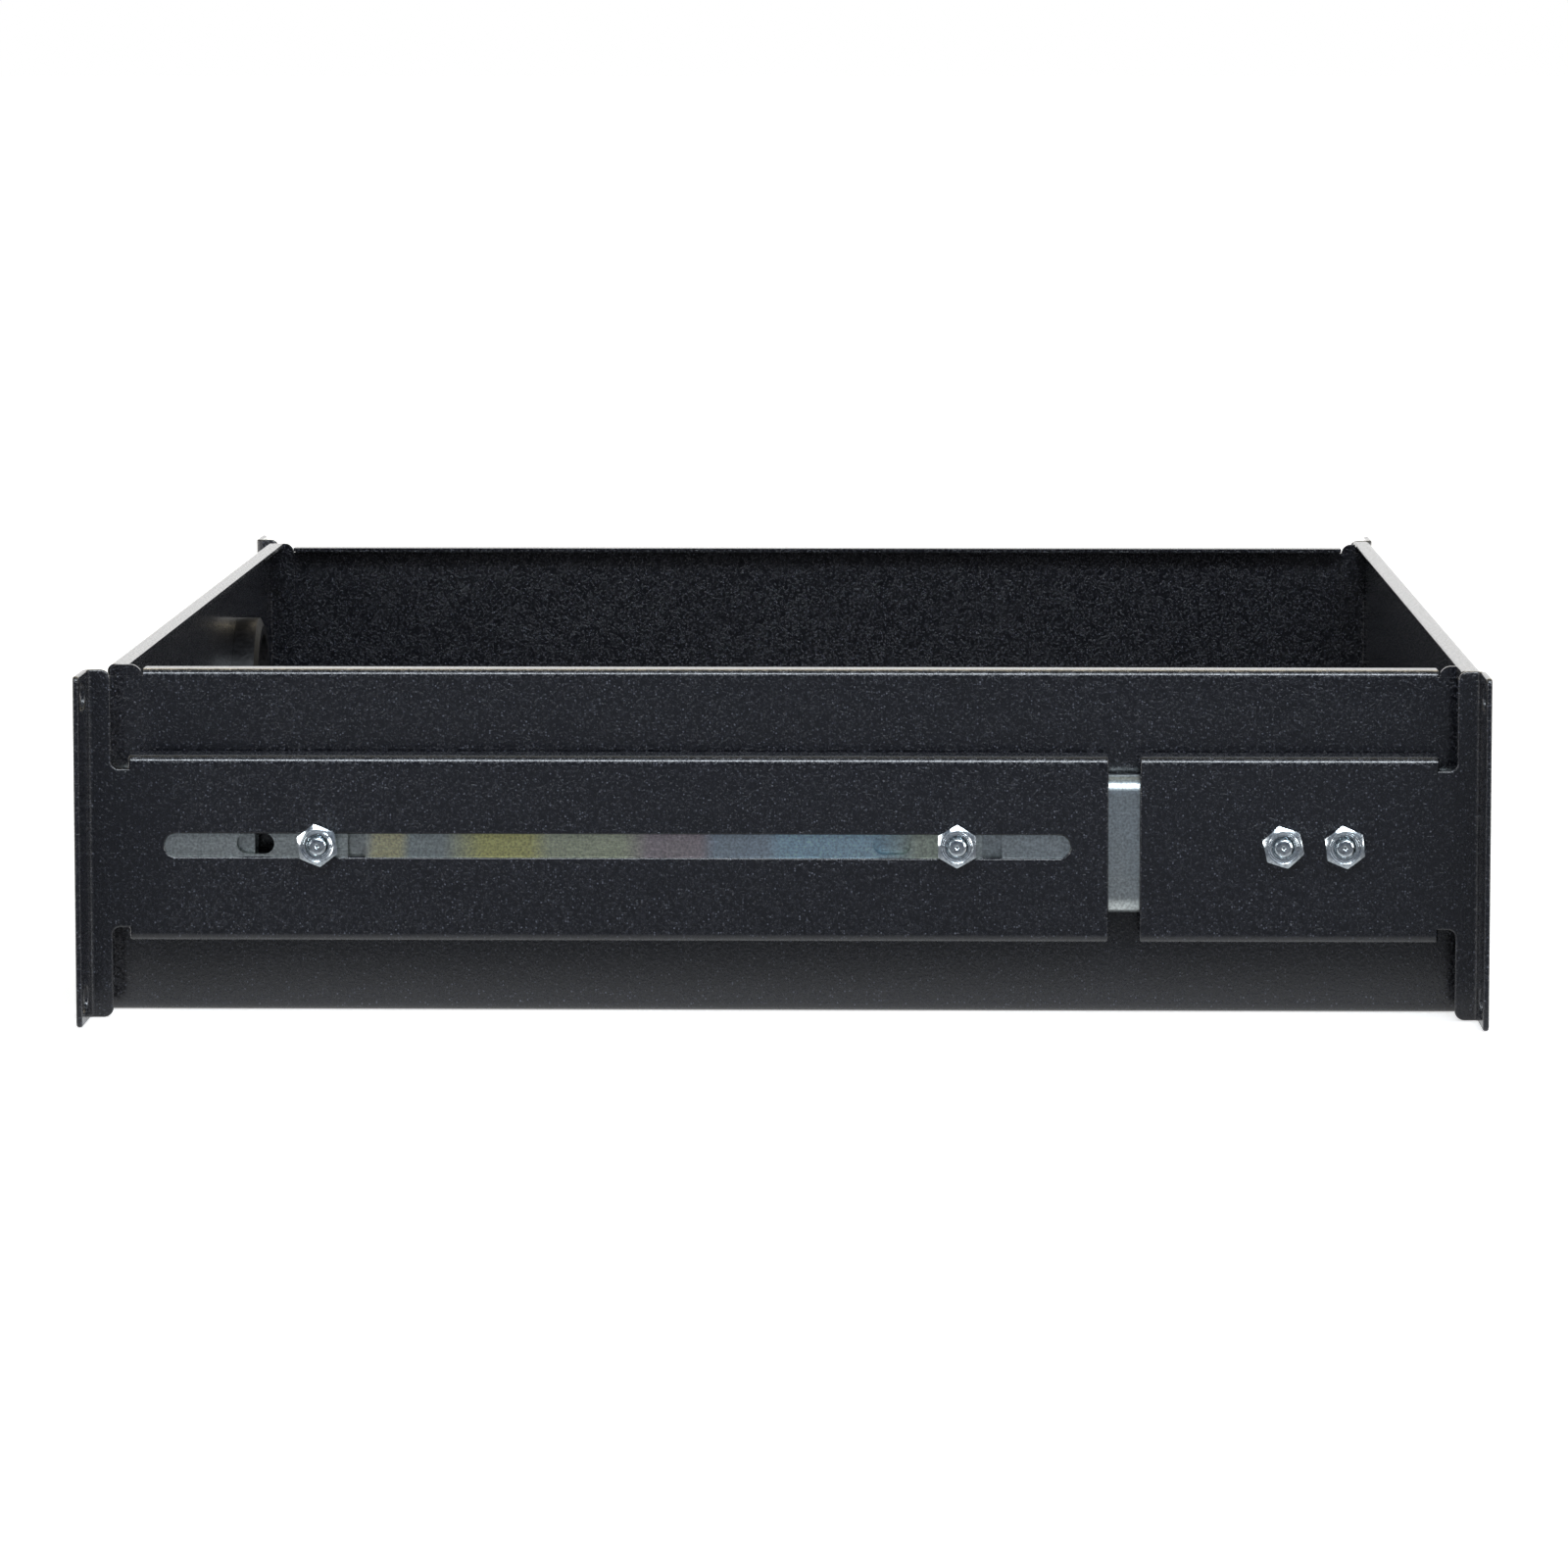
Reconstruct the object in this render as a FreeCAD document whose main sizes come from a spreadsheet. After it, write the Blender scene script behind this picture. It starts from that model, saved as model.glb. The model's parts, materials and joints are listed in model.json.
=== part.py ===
import FreeCAD, Part
import math
import os
import Sketcher

# Sliding rack drawer, two rack units high. +X is the front of the drawer and +Z is up; +Y is to the right
# of someone who faces the front, so the pieces called left lie at -Y. X is zero half way between the front
# and rear ear planes, Y is zero on the centre line and Z is zero at the underside. Millimetres throughout.

Vector = FreeCAD.Vector
Rotation = FreeCAD.Rotation
Placement = FreeCAD.Placement

LEFT = -1
RIGHT = 1

DIMENSIONS = [
    # whole drawer
    ("overall_length", 352.0),
    ("rack_height", 88.1),
    ("rack_width", 482.6),
    ("bracket_width", 444.5),
    # mounting brackets, 1.5 mm sheet
    ("bracket_sheet", 1.5),
    ("ear_bend_inside", 1.0),
    ("ear_corner", 1.5),
    ("ear_slot_spacing", 465.1),
    ("ear_slot_rise", 76.2),
    ("ear_slot_length", 10.5),
    ("ear_slot_width", 7.0),
    ("bar_width", 7.1),
    ("bar_corner", 2.5),
    ("relief_width", 4.4),
    ("relief_depth", 3.4),
    ("relief_corner", 1.9),
    ("arm_bottom", 19.5),
    ("arm_top", 66.5),
    ("arm_flange", 11.0),
    ("arm_bend_inside", 0.6),
    ("rear_arm_length", 257.8),
    ("front_arm_length", 86.4),
    ("adjust_slot_start", 20.4),
    ("adjust_slot_end", 248.2),
    ("adjust_slot_width", 5.8),
    ("adjust_slot_drop", 0.3),
    ("front_hole_bore", 5.2),
    ("front_slot_length", 9.0),
    ("front_slot_centre", 34.3),
    # drawer box, 1.2 mm sheet
    ("box_sheet", 1.2),
    ("box_width", 416.1),
    ("box_bend_outside", 2.2),
    ("rim_bend_outside", 1.8),
    ("side_height", 87.0),
    ("side_flange", 7.5),
    ("end_height", 88.0),
    ("end_flange", 5.5),
    ("floor_flange", 10.0),
    ("end_tab", 8.8),
    ("end_tab_corner", 2.9),
    ("end_tab_bottom", 6.0),
    ("end_bend_top", 70.5),
    ("tab_notch_bottom", 73.5),
    ("relief_hole", 3.0),
    ("relief_hole_height", 72.0),
    ("rear_wall_setback", 4.5),
    ("front_panel_setback", 0.6),
    ("front_panel_width", 440.0),
    ("front_panel_corner", 1.0),
    # recessed pull in the front panel
    ("pull_width", 96.0),
    ("pull_height", 40.0),
    ("pull_corner", 6.0),
    ("pull_cup_corner", 2.5),
    ("fit_gap", 0.2),
    ("pull_wall", 1.6),
    ("pull_depth", 15.0),
    ("pull_rim", 6.0),
    ("pull_lip", 6.5),
    ("pull_lug_width", 14.0),
    ("pull_lug_rise", 0.9),
    # cable grommet in the rear wall
    ("grommet_offset", 108.0),
    ("grommet_height", 52.0),
    ("grommet_hole", 38.0),
    ("grommet_flange", 42.0),
    ("grommet_bore", 32.0),
    ("grommet_outside", 2.5),
    ("grommet_inside", 7.5),
    ("grommet_gap", 0.05),
    ("grommet_chamfer", 1.2),
    # telescopic slides
    ("slide_axis", 44.05),
    ("slide_height", 35.0),
    ("slide_thickness", 12.7),
    ("outer_sheet", 1.2),
    ("middle_sheet", 1.0),
    ("inner_sheet", 1.2),
    ("slide_rear_gap", 0.6),
    ("slide_front_gap", 0.6),
    ("member_setback", 7.4),
    ("shoulder_radius", 4.0),
    ("middle_web", 3.5),
    ("middle_bend", 1.5),
    ("inner_bend", 1.5),
    ("ball_radius", 1.5),
    ("race_clearance", 0.1),
    ("ball_inset", 5.4),
    ("race_step_angle", 50.0),
    ("outer_lip_angle", 10.0),
    ("middle_lip_angle", 20.0),
    ("inner_lip_angle", 150.0),
    ("cage_sheet", 0.4),
    ("cage_rear", -80.0),
    ("cage_length", 150.0),
    ("cage_bridge", 8.0),
    ("cage_window", 5.5),
    ("outer_cage_web", 2.1),
    ("outer_cage_bend", 2.4),
    ("inner_cage_web", 5.0),
    ("inner_cage_bend", 1.6),
    ("ball_pocket", 3.3),
    ("bumper_length", 6.4),
    ("bumper_half_height", 9.5),
    ("bumper_reach", 9.5),
    # fixings
    ("stud_diameter", 4.8),
    ("stud_end", 0.9),
    ("nut_flats", 9.5),
    ("nut_height", 3.2),
    ("nut_clearance", 0.02),
    ("small_stud_diameter", 4.0),
    ("small_stud_end", 0.6),
    ("small_nut_flats", 7.0),
    ("small_nut_height", 2.4),
]

# Stud stations along X, from the rear ear plane for the rear pair and from the front one for the others.
REAR_STUDS = (59.1, 219.8)
FRONT_STUDS = (50.5, 35.1)
# How far each clamping nut is turned, in degrees, in the order of the studs.
NUT_TURNS = (8.0, 0.0, 13.0, 7.0)
# Stations of the drawer's own studs along X.
DRAWER_STUDS = (-90.0, 110.0)
BALLS_PER_ROW = 3
BALL_END_MARGIN = 6.0
# Small round shapes that repeat are drawn with flat sides.
SMALL_SIDES = 16
BALL_SIDES = 8
# Openings in the slide members' webs: centre along X from the rear ear plane, length along X, height.
OBLONG_OPENINGS = ((43.2, 9.5, 5.3), (203.5, 9.5, 5.3))
SQUARE_OPENINGS = ((68.75, 4.5, 9.0), (228.6, 5.0, 9.0))
ACCESS_WINDOW = (47.4, 9.2, 8.0)

doc = FreeCAD.newDocument("rack_drawer")
sheet = doc.addObject("Spreadsheet::Sheet", "dims")
for row, (alias, number) in enumerate(DIMENSIONS, start=1):
    sheet.set("A%d" % row, alias)
    sheet.set("B%d" % row, str(number))
    sheet.setAlias("B%d" % row, alias)
doc.recompute()


class Size:
    """A length that knows its value in millimetres and the spreadsheet expression that gives it."""

    def __init__(self, value, text):
        self.value = value
        self.text = text

    def __add__(self, other):
        other = as_size(other)
        return Size(self.value + other.value, "(%s + %s)" % (self.text, other.text))

    def __sub__(self, other):
        other = as_size(other)
        return Size(self.value - other.value, "(%s - %s)" % (self.text, other.text))

    def __mul__(self, factor):
        factor = as_size(factor)
        return Size(self.value * factor.value, "(%s * %s)" % (self.text, factor.text))

    def __truediv__(self, divisor):
        divisor = as_size(divisor)
        return Size(self.value / divisor.value, "(%s / %s)" % (self.text, divisor.text))

    def __neg__(self):
        return self * -1

    def __rmul__(self, factor):
        return self * factor


def as_size(number):
    return number if isinstance(number, Size) else Size(float(number), repr(float(number)))


def dim(alias):
    return Size(float(sheet.get(alias)), "dims.%s" % alias)


ZERO = as_size(0.0)
MARGIN = as_size(1.0)
half_length = dim("overall_length") / 2
web_outer = dim("bracket_width") / 2
web_inner = web_outer - dim("bracket_sheet")
box_half = dim("box_width") / 2
box_inner = box_half - dim("box_sheet")
rear_wall_x = dim("rear_wall_setback") - half_length
front_panel_x = half_length - dim("front_panel_setback")
front_wall_x = front_panel_x - dim("box_sheet")


# ---- sketch helpers ----------------------------------------------------------------------------------

def new_body(label, base=(0.0, 0.0, 0.0), turn=0.0):
    body = doc.addObject("PartDesign::Body", label)
    body.Label = label
    body.Placement = Placement(Vector(*base), Rotation(Vector(0, 0, 1), turn))
    return body


def new_sketch(body, role, name, offset=None):
    sketch = body.newObject("Sketcher::SketchObject", name)
    plane = [feature for feature in body.Origin.OriginFeatures if feature.Role == role][0]
    sketch.AttachmentSupport = [(plane, "")]
    sketch.MapMode = "FlatFace"
    if offset is not None:
        sketch.setExpression("AttachmentOffset.Base.z", offset.text)
    return sketch


def fix_coordinate(sketch, axis, geometry, point, size):
    """Hold one coordinate of a sketch point at a size that the spreadsheet drives."""
    if abs(size.value) < 1e-9:
        sketch.addConstraint(Sketcher.Constraint("PointOnObject", geometry, point, -2 if axis == "X" else -1))
        return
    kind = "Distance" + axis
    if size.value > 0:
        index = sketch.addConstraint(Sketcher.Constraint(kind, -1, 1, geometry, point, size.value))
        sketch.setExpression("Constraints[%d]" % index, size.text)
    else:
        index = sketch.addConstraint(Sketcher.Constraint(kind, geometry, point, -1, 1, -size.value))
        sketch.setExpression("Constraints[%d]" % index, (-size).text)


def fix_radius(sketch, geometry, radius):
    index = sketch.addConstraint(Sketcher.Constraint("Radius", geometry, radius.value))
    sketch.setExpression("Constraints[%d]" % index, radius.text)


def angle_of(vector):
    return math.atan2(vector.y, vector.x)


def draw_outline(sketch, corners):
    """A closed outline of level and upright lines. Each corner is (x, y) or (x, y, radius)."""
    points = [Vector(corner[0].value, corner[1].value, 0) for corner in corners]
    radii = [corner[2] if len(corner) > 2 else None for corner in corners]
    count = len(corners)
    ways = [(points[(i + 1) % count] - points[i]).normalize() for i in range(count)]
    lines = []
    for i in range(count):
        following = (i + 1) % count
        start = points[i] + ways[i] * (radii[i].value if radii[i] else 0.0)
        finish = points[following] - ways[i] * (radii[following].value if radii[following] else 0.0)
        line = sketch.addGeometry(Part.LineSegment(start, finish), False)
        upright = abs(ways[i].x) < abs(ways[i].y)
        sketch.addConstraint(Sketcher.Constraint("Vertical" if upright else "Horizontal", line))
        if upright:
            fix_coordinate(sketch, "X", line, 1, corners[i][0])
        else:
            fix_coordinate(sketch, "Y", line, 1, corners[i][1])
        lines.append(line)
    for i in range(count):
        before, after = lines[i - 1], lines[i]
        if radii[i] is None:
            sketch.addConstraint(Sketcher.Constraint("Coincident", before, 2, after, 1))
            continue
        way_in, way_out = ways[i - 1], ways[i]
        reach = radii[i].value
        centre = points[i] - way_in * reach + way_out * reach
        first, last = points[i] - way_in * reach, points[i] + way_out * reach
        turns_left = way_in.x * way_out.y - way_in.y * way_out.x > 0
        begin, end = (first, last) if turns_left else (last, first)
        circle = Part.Circle(centre, Vector(0, 0, 1), reach)
        arc = sketch.addGeometry(
            Part.ArcOfCircle(circle, angle_of(begin - centre), angle_of(end - centre)), False)
        sketch.addConstraint(Sketcher.Constraint("Tangent", before, 2, arc, 1 if turns_left else 2))
        sketch.addConstraint(Sketcher.Constraint("Tangent", after, 1, arc, 2 if turns_left else 1))
        fix_radius(sketch, arc, radii[i])


def draw_polygon(sketch, corners):
    """A closed outline of straight lines in any direction."""
    count = len(corners)
    points = [Vector(x.value, y.value, 0) for x, y in corners]
    lines = []
    for i in range(count):
        lines.append(sketch.addGeometry(Part.LineSegment(points[i], points[(i + 1) % count]), False))
    for i in range(count):
        sketch.addConstraint(Sketcher.Constraint("Coincident", lines[i - 1], 2, lines[i], 1))
    for line, (x, y) in zip(lines, corners):
        fix_coordinate(sketch, "X", line, 1, x)
        fix_coordinate(sketch, "Y", line, 1, y)


def draw_ring(sketch, x, y, radius):
    """A small round opening drawn with flat sides, each end of a side on the circle."""
    step = 2 * math.pi / SMALL_SIDES
    draw_polygon(sketch, [(x + radius * math.cos(step * i), y + radius * math.sin(step * i))
                          for i in range(SMALL_SIDES)])


def draw_circle(sketch, x, y, diameter):
    radius = diameter / 2
    circle = sketch.addGeometry(
        Part.Circle(Vector(x.value, y.value, 0), Vector(0, 0, 1), radius.value), False)
    fix_coordinate(sketch, "X", circle, 3, x)
    fix_coordinate(sketch, "Y", circle, 3, y)
    fix_radius(sketch, circle, radius)


def draw_slot(sketch, x, y, length, width):
    """A level slot with round ends; length is over the ends."""
    reach = (length - width) / 2
    radius = width / 2
    up = Vector(0, radius.value, 0)
    near = Vector((x - reach).value, y.value, 0)
    far = Vector((x + reach).value, y.value, 0)
    quarter = math.pi / 2
    normal = Vector(0, 0, 1)
    near_arc = sketch.addGeometry(
        Part.ArcOfCircle(Part.Circle(near, normal, radius.value), quarter, 3 * quarter), False)
    far_arc = sketch.addGeometry(
        Part.ArcOfCircle(Part.Circle(far, normal, radius.value), -quarter, quarter), False)
    bottom = sketch.addGeometry(Part.LineSegment(near - up, far - up), False)
    top = sketch.addGeometry(Part.LineSegment(far + up, near + up), False)
    sketch.addConstraint(Sketcher.Constraint("Tangent", near_arc, 2, bottom, 1))
    sketch.addConstraint(Sketcher.Constraint("Tangent", bottom, 2, far_arc, 1))
    sketch.addConstraint(Sketcher.Constraint("Tangent", far_arc, 2, top, 1))
    sketch.addConstraint(Sketcher.Constraint("Tangent", top, 2, near_arc, 1))
    sketch.addConstraint(Sketcher.Constraint("Equal", near_arc, far_arc))
    fix_coordinate(sketch, "X", near_arc, 3, x - reach)
    fix_coordinate(sketch, "X", far_arc, 3, x + reach)
    fix_coordinate(sketch, "Y", near_arc, 3, y)
    fix_coordinate(sketch, "Y", far_arc, 3, y)
    fix_radius(sketch, near_arc, radius)


def pad(body, sketch, length, symmetric=False, reverse=False):
    feature = body.newObject("PartDesign::Pad", sketch.Name + "_pad")
    feature.Profile = sketch
    feature.setExpression("Length", length.text)
    feature.Midplane = symmetric
    feature.Reversed = reverse
    sketch.Visibility = False
    doc.recompute()
    return feature


def cut_through(body, sketch):
    """Pocket right through the body on both sides of the sketch, and prove that it removed something."""
    before = body.Shape.Volume
    feature = body.newObject("PartDesign::Pocket", sketch.Name + "_cut")
    feature.Profile = sketch
    feature.Type = "ThroughAll"
    feature.Midplane = True
    doc.recompute()
    if body.Shape.Volume >= before:
        raise RuntimeError("%s cuts nothing" % feature.Name)
    return feature


def cut_depth(body, sketch, depth, reverse=False):
    before = body.Shape.Volume
    feature = body.newObject("PartDesign::Pocket", sketch.Name + "_cut")
    feature.Profile = sketch
    feature.setExpression("Length", depth.text)
    feature.Reversed = reverse
    doc.recompute()
    if body.Shape.Volume >= before:
        raise RuntimeError("%s cuts nothing" % feature.Name)
    return feature


def round_edges(body, name, radius, wanted):
    """Fillet every edge of the body for which wanted(edge) is true."""
    base = body.Tip
    picked = ["Edge%d" % (i + 1) for i, edge in enumerate(base.Shape.Edges) if wanted(edge)]
    if not picked:
        raise RuntimeError("%s finds no edges" % name)
    feature = body.newObject("PartDesign::Fillet", name)
    feature.Base = (base, picked)
    feature.setExpression("Radius", radius.text)
    doc.recompute()
    return feature


def straight_edge_at(edge, direction, **position):
    """True for a straight edge along direction whose middle has the given x, y or z."""
    if edge.Curve.TypeId != "Part::GeomLine":
        return False
    if abs(abs(edge.Curve.Direction.dot(direction)) - 1) > 1e-6:
        return False
    middle = edge.CenterOfMass
    return all(abs(getattr(middle, axis) - place) < 1e-3 for axis, place in position.items())


def mirror_part(source, label):
    """The right-hand twin of a left-hand piece."""
    twin = doc.addObject("Part::Mirroring", label)
    twin.Label = label
    twin.Source = source
    twin.Base = Vector(0, 0, 0)
    twin.Normal = Vector(0, 1, 0)
    return twin


# ---- mounting brackets -------------------------------------------------------------------------------

def bracket(label, side, arm_length, base, turn):
    """Folded bracket: rack ear, upright bar and a channel-shaped arm, the ear's outer face at x = 0."""
    body = new_body(label, base, turn)
    height = dim("rack_height")
    gauge = dim("bracket_sheet")
    bar = dim("bar_width")
    outside_bend = dim("ear_bend_inside") + gauge
    arm_bend = dim("arm_bend_inside") + gauge
    flange_start = bar + dim("relief_width")

    section = new_sketch(body, "XY_Plane", label + "_section")
    draw_outline(section, [
        (ZERO, side * dim("rack_width") / 2),
        (gauge, side * dim("rack_width") / 2),
        (gauge, side * web_outer, dim("ear_bend_inside")),
        (arm_length, side * web_outer),
        (arm_length, side * web_inner),
        (ZERO, side * web_inner, outside_bend),
    ])
    pad(body, section, height)

    clearing = new_sketch(body, "XZ_Plane", label + "_clearing")
    relief = dim("relief_corner")
    for arm_edge, outward in ((dim("arm_top"), 1), (dim("arm_bottom"), -1)):
        rim = height + MARGIN if outward > 0 else -MARGIN
        relief_floor = arm_edge - outward * dim("relief_depth")
        web_edge = arm_edge - outward * arm_bend
        draw_outline(clearing, [
            (bar, rim),
            (bar, relief_floor, relief),
            (flange_start, relief_floor),
            (flange_start, web_edge),
            (arm_length + MARGIN, web_edge),
            (arm_length + MARGIN, rim),
        ])
    cut_through(body, clearing)

    flanges = new_sketch(body, "YZ_Plane", label + "_flanges", flange_start)
    flange_edge = side * (web_outer - dim("arm_flange"))
    for arm_edge, outward in ((dim("arm_top"), 1), (dim("arm_bottom"), -1)):
        draw_outline(flanges, [
            (side * web_outer, arm_edge - outward * arm_bend),
            (side * web_outer, arm_edge, arm_bend - as_size(0.001)),
            (flange_edge, arm_edge),
            (flange_edge, arm_edge - outward * gauge),
            (side * web_inner, arm_edge - outward * gauge, dim("arm_bend_inside") - as_size(0.001)),
            (side * web_inner, arm_edge - outward * arm_bend),
        ])
    pad(body, flanges, arm_length - flange_start)

    ear_slots = new_sketch(body, "YZ_Plane", label + "_ear_slots")
    middle = height / 2
    for step in (-1, 1):
        draw_slot(ear_slots, side * dim("ear_slot_spacing") / 2, middle + step * dim("ear_slot_rise") / 2,
                  dim("ear_slot_length"), dim("ear_slot_width"))
    cut_through(body, ear_slots)

    level = Vector(0, 1, 0)
    round_edges(body, label + "_bar_corners", dim("bar_corner"), lambda edge: any(
        straight_edge_at(edge, level, x=bar.value, z=end) for end in (0.0, height.value)))
    forward = Vector(1, 0, 0)
    round_edges(body, label + "_ear_corners", dim("ear_corner"), lambda edge: any(
        straight_edge_at(edge, forward, y=side * dim("rack_width").value / 2, z=end)
        for end in (0.0, height.value)))
    return body


def rear_bracket():
    """Its long slot lets the rear ears be set to the depth of the rack."""
    body = bracket("rear_bracket_left", LEFT, dim("rear_arm_length"), (-half_length.value, 0, 0), 0.0)
    slot = new_sketch(body, "XZ_Plane", "adjust_slot")
    start, end = dim("adjust_slot_start"), dim("adjust_slot_end")
    level = dim("slide_axis") - dim("adjust_slot_drop")
    draw_slot(slot, (start + end) / 2, level, end - start, dim("adjust_slot_width"))
    cut_through(body, slot)
    return body


def front_bracket():
    """Turned half round, so that its ear faces the front."""
    body = bracket("front_bracket_left", RIGHT, dim("front_arm_length"), (half_length.value, 0, 0), 180.0)
    holes = new_sketch(body, "XZ_Plane", "front_holes")
    draw_circle(holes, as_size(FRONT_STUDS[0]), dim("slide_axis"), dim("front_hole_bore"))
    draw_slot(holes, dim("front_slot_centre"), dim("slide_axis"),
              dim("front_slot_length"), dim("front_hole_bore"))
    cut_through(body, holes)
    return body


# ---- drawer box --------------------------------------------------------------------------------------

def drawer_tray():
    """Floor and sides folded from one sheet, with the rim turned inward."""
    body = new_body("drawer_tray")
    gauge = dim("box_sheet")
    low, high = dim("box_bend_outside"), dim("rim_bend_outside")
    side_top = dim("side_height")
    rim_edge = box_half - dim("side_flange")
    section = new_sketch(body, "YZ_Plane", "tray_section", rear_wall_x)
    draw_outline(section, [
        (-box_half, ZERO, low),
        (box_half, ZERO, low),
        (box_half, side_top, high),
        (rim_edge, side_top),
        (rim_edge, side_top - gauge),
        (box_inner, side_top - gauge, high - gauge),
        (box_inner, gauge, low - gauge),
        (-box_inner, gauge, low - gauge),
        (-box_inner, side_top - gauge, high - gauge),
        (-rim_edge, side_top - gauge),
        (-rim_edge, side_top),
        (-box_half, side_top, high),
    ])
    pad(body, section, front_wall_x - rear_wall_x)

    ends = new_sketch(body, "XZ_Plane", "tray_ends")
    lowered = side_top - high
    clear = dim("end_tab") + dim("fit_gap") * 2
    for end_x, inward in ((rear_wall_x, 1), (front_wall_x, -1)):
        draw_outline(ends, [
            (end_x - inward * MARGIN, lowered),
            (end_x + inward * clear, lowered),
            (end_x + inward * clear, side_top + MARGIN),
            (end_x - inward * MARGIN, side_top + MARGIN),
        ])
    cut_through(body, ends)
    return body


def end_wall(label, base_x, turn, tab_head, rounded):
    """End wall of the box with a floor flange and two side tabs, its outer face at x = 0.

    tab_head is the outline of the tabs' upper end, from the inner edge round to the bend; the top corners
    at the x positions in rounded are rounded off.
    """
    body = new_body(label, (base_x.value, 0, 0), turn)
    gauge = dim("box_sheet")
    bend = dim("rim_bend_outside")
    top = dim("end_height")
    under_rim = top - bend
    corner = box_inner - dim("box_bend_outside") - dim("fit_gap")
    section = new_sketch(body, "XZ_Plane", label + "_section")
    draw_outline(section, [
        (ZERO, gauge, bend),
        (dim("floor_flange"), gauge),
        (dim("floor_flange"), gauge * 2),
        (gauge, gauge * 2, bend - gauge),
        (gauge, under_rim),
        (ZERO, under_rim),
    ])
    pad(body, section, corner * 2, symmetric=True)

    tab_bend = dim("box_bend_outside")
    bends = new_sketch(body, "XY_Plane", label + "_tab_bends", dim("end_tab_bottom"))
    for side in (LEFT, RIGHT):
        draw_outline(bends, [
            (ZERO, side * (corner - MARGIN)),
            (ZERO, side * box_inner, tab_bend),
            (tab_bend + dim("fit_gap"), side * box_inner),
            (tab_bend + dim("fit_gap"), side * (box_inner - gauge)),
            (gauge, side * (box_inner - gauge), tab_bend - gauge),
            (gauge, side * (corner - MARGIN)),
        ])
    pad(body, bends, dim("end_bend_top") - dim("end_tab_bottom"))

    for side in (LEFT, RIGHT):
        face = -box_inner if side == RIGHT else box_inner - gauge
        tab = new_sketch(body, "XZ_Plane", "%s_tab_%s" % (label, "right" if side == RIGHT else "left"), face)
        draw_polygon(tab, [
            (tab_bend, dim("end_tab_bottom")),
            (dim("end_tab"), dim("end_tab_bottom")),
        ] + tab_head)
        pad(body, tab, gauge)

    reliefs = new_sketch(body, "XZ_Plane", label + "_relief_holes")
    draw_ring(reliefs, gauge + dim("relief_hole") / 2 + dim("fit_gap"), dim("relief_hole_height"),
              dim("relief_hole") / 2)
    cut_through(body, reliefs)

    level = Vector(0, 1, 0)
    round_edges(body, label + "_tab_corners", dim("end_tab_corner"), lambda edge: any(
        straight_edge_at(edge, level, x=x.value, z=top.value) for x in rounded))
    return body


def draw_rim(sketch, face_x, inward, foot):
    """Section of an end's upright sheet with its rim turned inward; inward is the sign of the way in."""
    gauge = dim("box_sheet")
    bend = dim("rim_bend_outside")
    top = dim("end_height")
    draw_outline(sketch, [
        (face_x, foot),
        (face_x, top, bend),
        (face_x + inward * dim("end_flange"), top),
        (face_x + inward * dim("end_flange"), top - gauge),
        (face_x + inward * gauge, top - gauge, bend - gauge),
        (face_x + inward * gauge, foot),
    ])


def rear_wall():
    """Its rim runs between the two tabs, which stand up to the same height."""
    tab_edge = dim("fit_gap")
    body = end_wall("rear_wall", rear_wall_x, 0.0, [
        (dim("end_tab"), dim("end_height")),
        (tab_edge, dim("end_height")),
        (tab_edge, dim("tab_notch_bottom")),
        (dim("box_bend_outside"), dim("tab_notch_bottom")),
    ], (dim("end_tab"), tab_edge))
    rim = new_sketch(body, "XZ_Plane", "rear_rim")
    draw_rim(rim, ZERO, 1, dim("tab_notch_bottom"))
    pad(body, rim, (box_inner - dim("box_sheet") - dim("fit_gap")) * 2, symmetric=True)
    hole = new_sketch(body, "YZ_Plane", "grommet_hole")
    draw_circle(hole, dim("grommet_offset"), dim("grommet_height"), dim("grommet_hole"))
    cut_through(body, hole)
    return body


def pull_outline(sketch, inset, corner):
    """The pull's rounded outline, drawn smaller all round by the inset."""
    half_width = dim("pull_width") / 2 - inset
    half_height = dim("pull_height") / 2 - inset
    middle = dim("rack_height") / 2
    draw_outline(sketch, [
        (-half_width, middle - half_height, corner),
        (half_width, middle - half_height, corner),
        (half_width, middle + half_height, corner),
        (-half_width, middle + half_height, corner),
    ])


def front_wall():
    """Its tabs are notched to clear the rim of the front panel."""
    clear = dim("end_flange") - dim("box_sheet") + dim("fit_gap")
    body = end_wall("front_wall", front_wall_x, 180.0, [
        (dim("end_tab"), dim("end_height")),
        (clear, dim("end_height")),
        (clear, dim("end_height") - dim("rim_bend_outside")),
        (dim("box_bend_outside"), dim("tab_notch_bottom")),
    ], (dim("end_tab"),))
    opening = new_sketch(body, "YZ_Plane", "front_wall_opening")
    pull_outline(opening, dim("pull_rim"), dim("pull_cup_corner"))
    cut_through(body, opening)
    return body


def front_panel():
    """Panel across the front with its rim turned inward; it covers the ends of the slides."""
    body = new_body("front_panel")
    half_width = dim("front_panel_width") / 2
    section = new_sketch(body, "XZ_Plane", "panel_section")
    draw_rim(section, front_panel_x, -1, ZERO)
    pad(body, section, half_width * 2, symmetric=True)
    opening = new_sketch(body, "YZ_Plane", "panel_opening", front_wall_x)
    pull_outline(opening, ZERO, dim("pull_corner"))
    cut_through(body, opening)
    forward = Vector(1, 0, 0)
    round_edges(body, "panel_bottom_corners", dim("front_panel_corner"), lambda edge: any(
        straight_edge_at(edge, forward, y=side * half_width.value, z=0.0) for side in (LEFT, RIGHT)))
    return body


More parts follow.
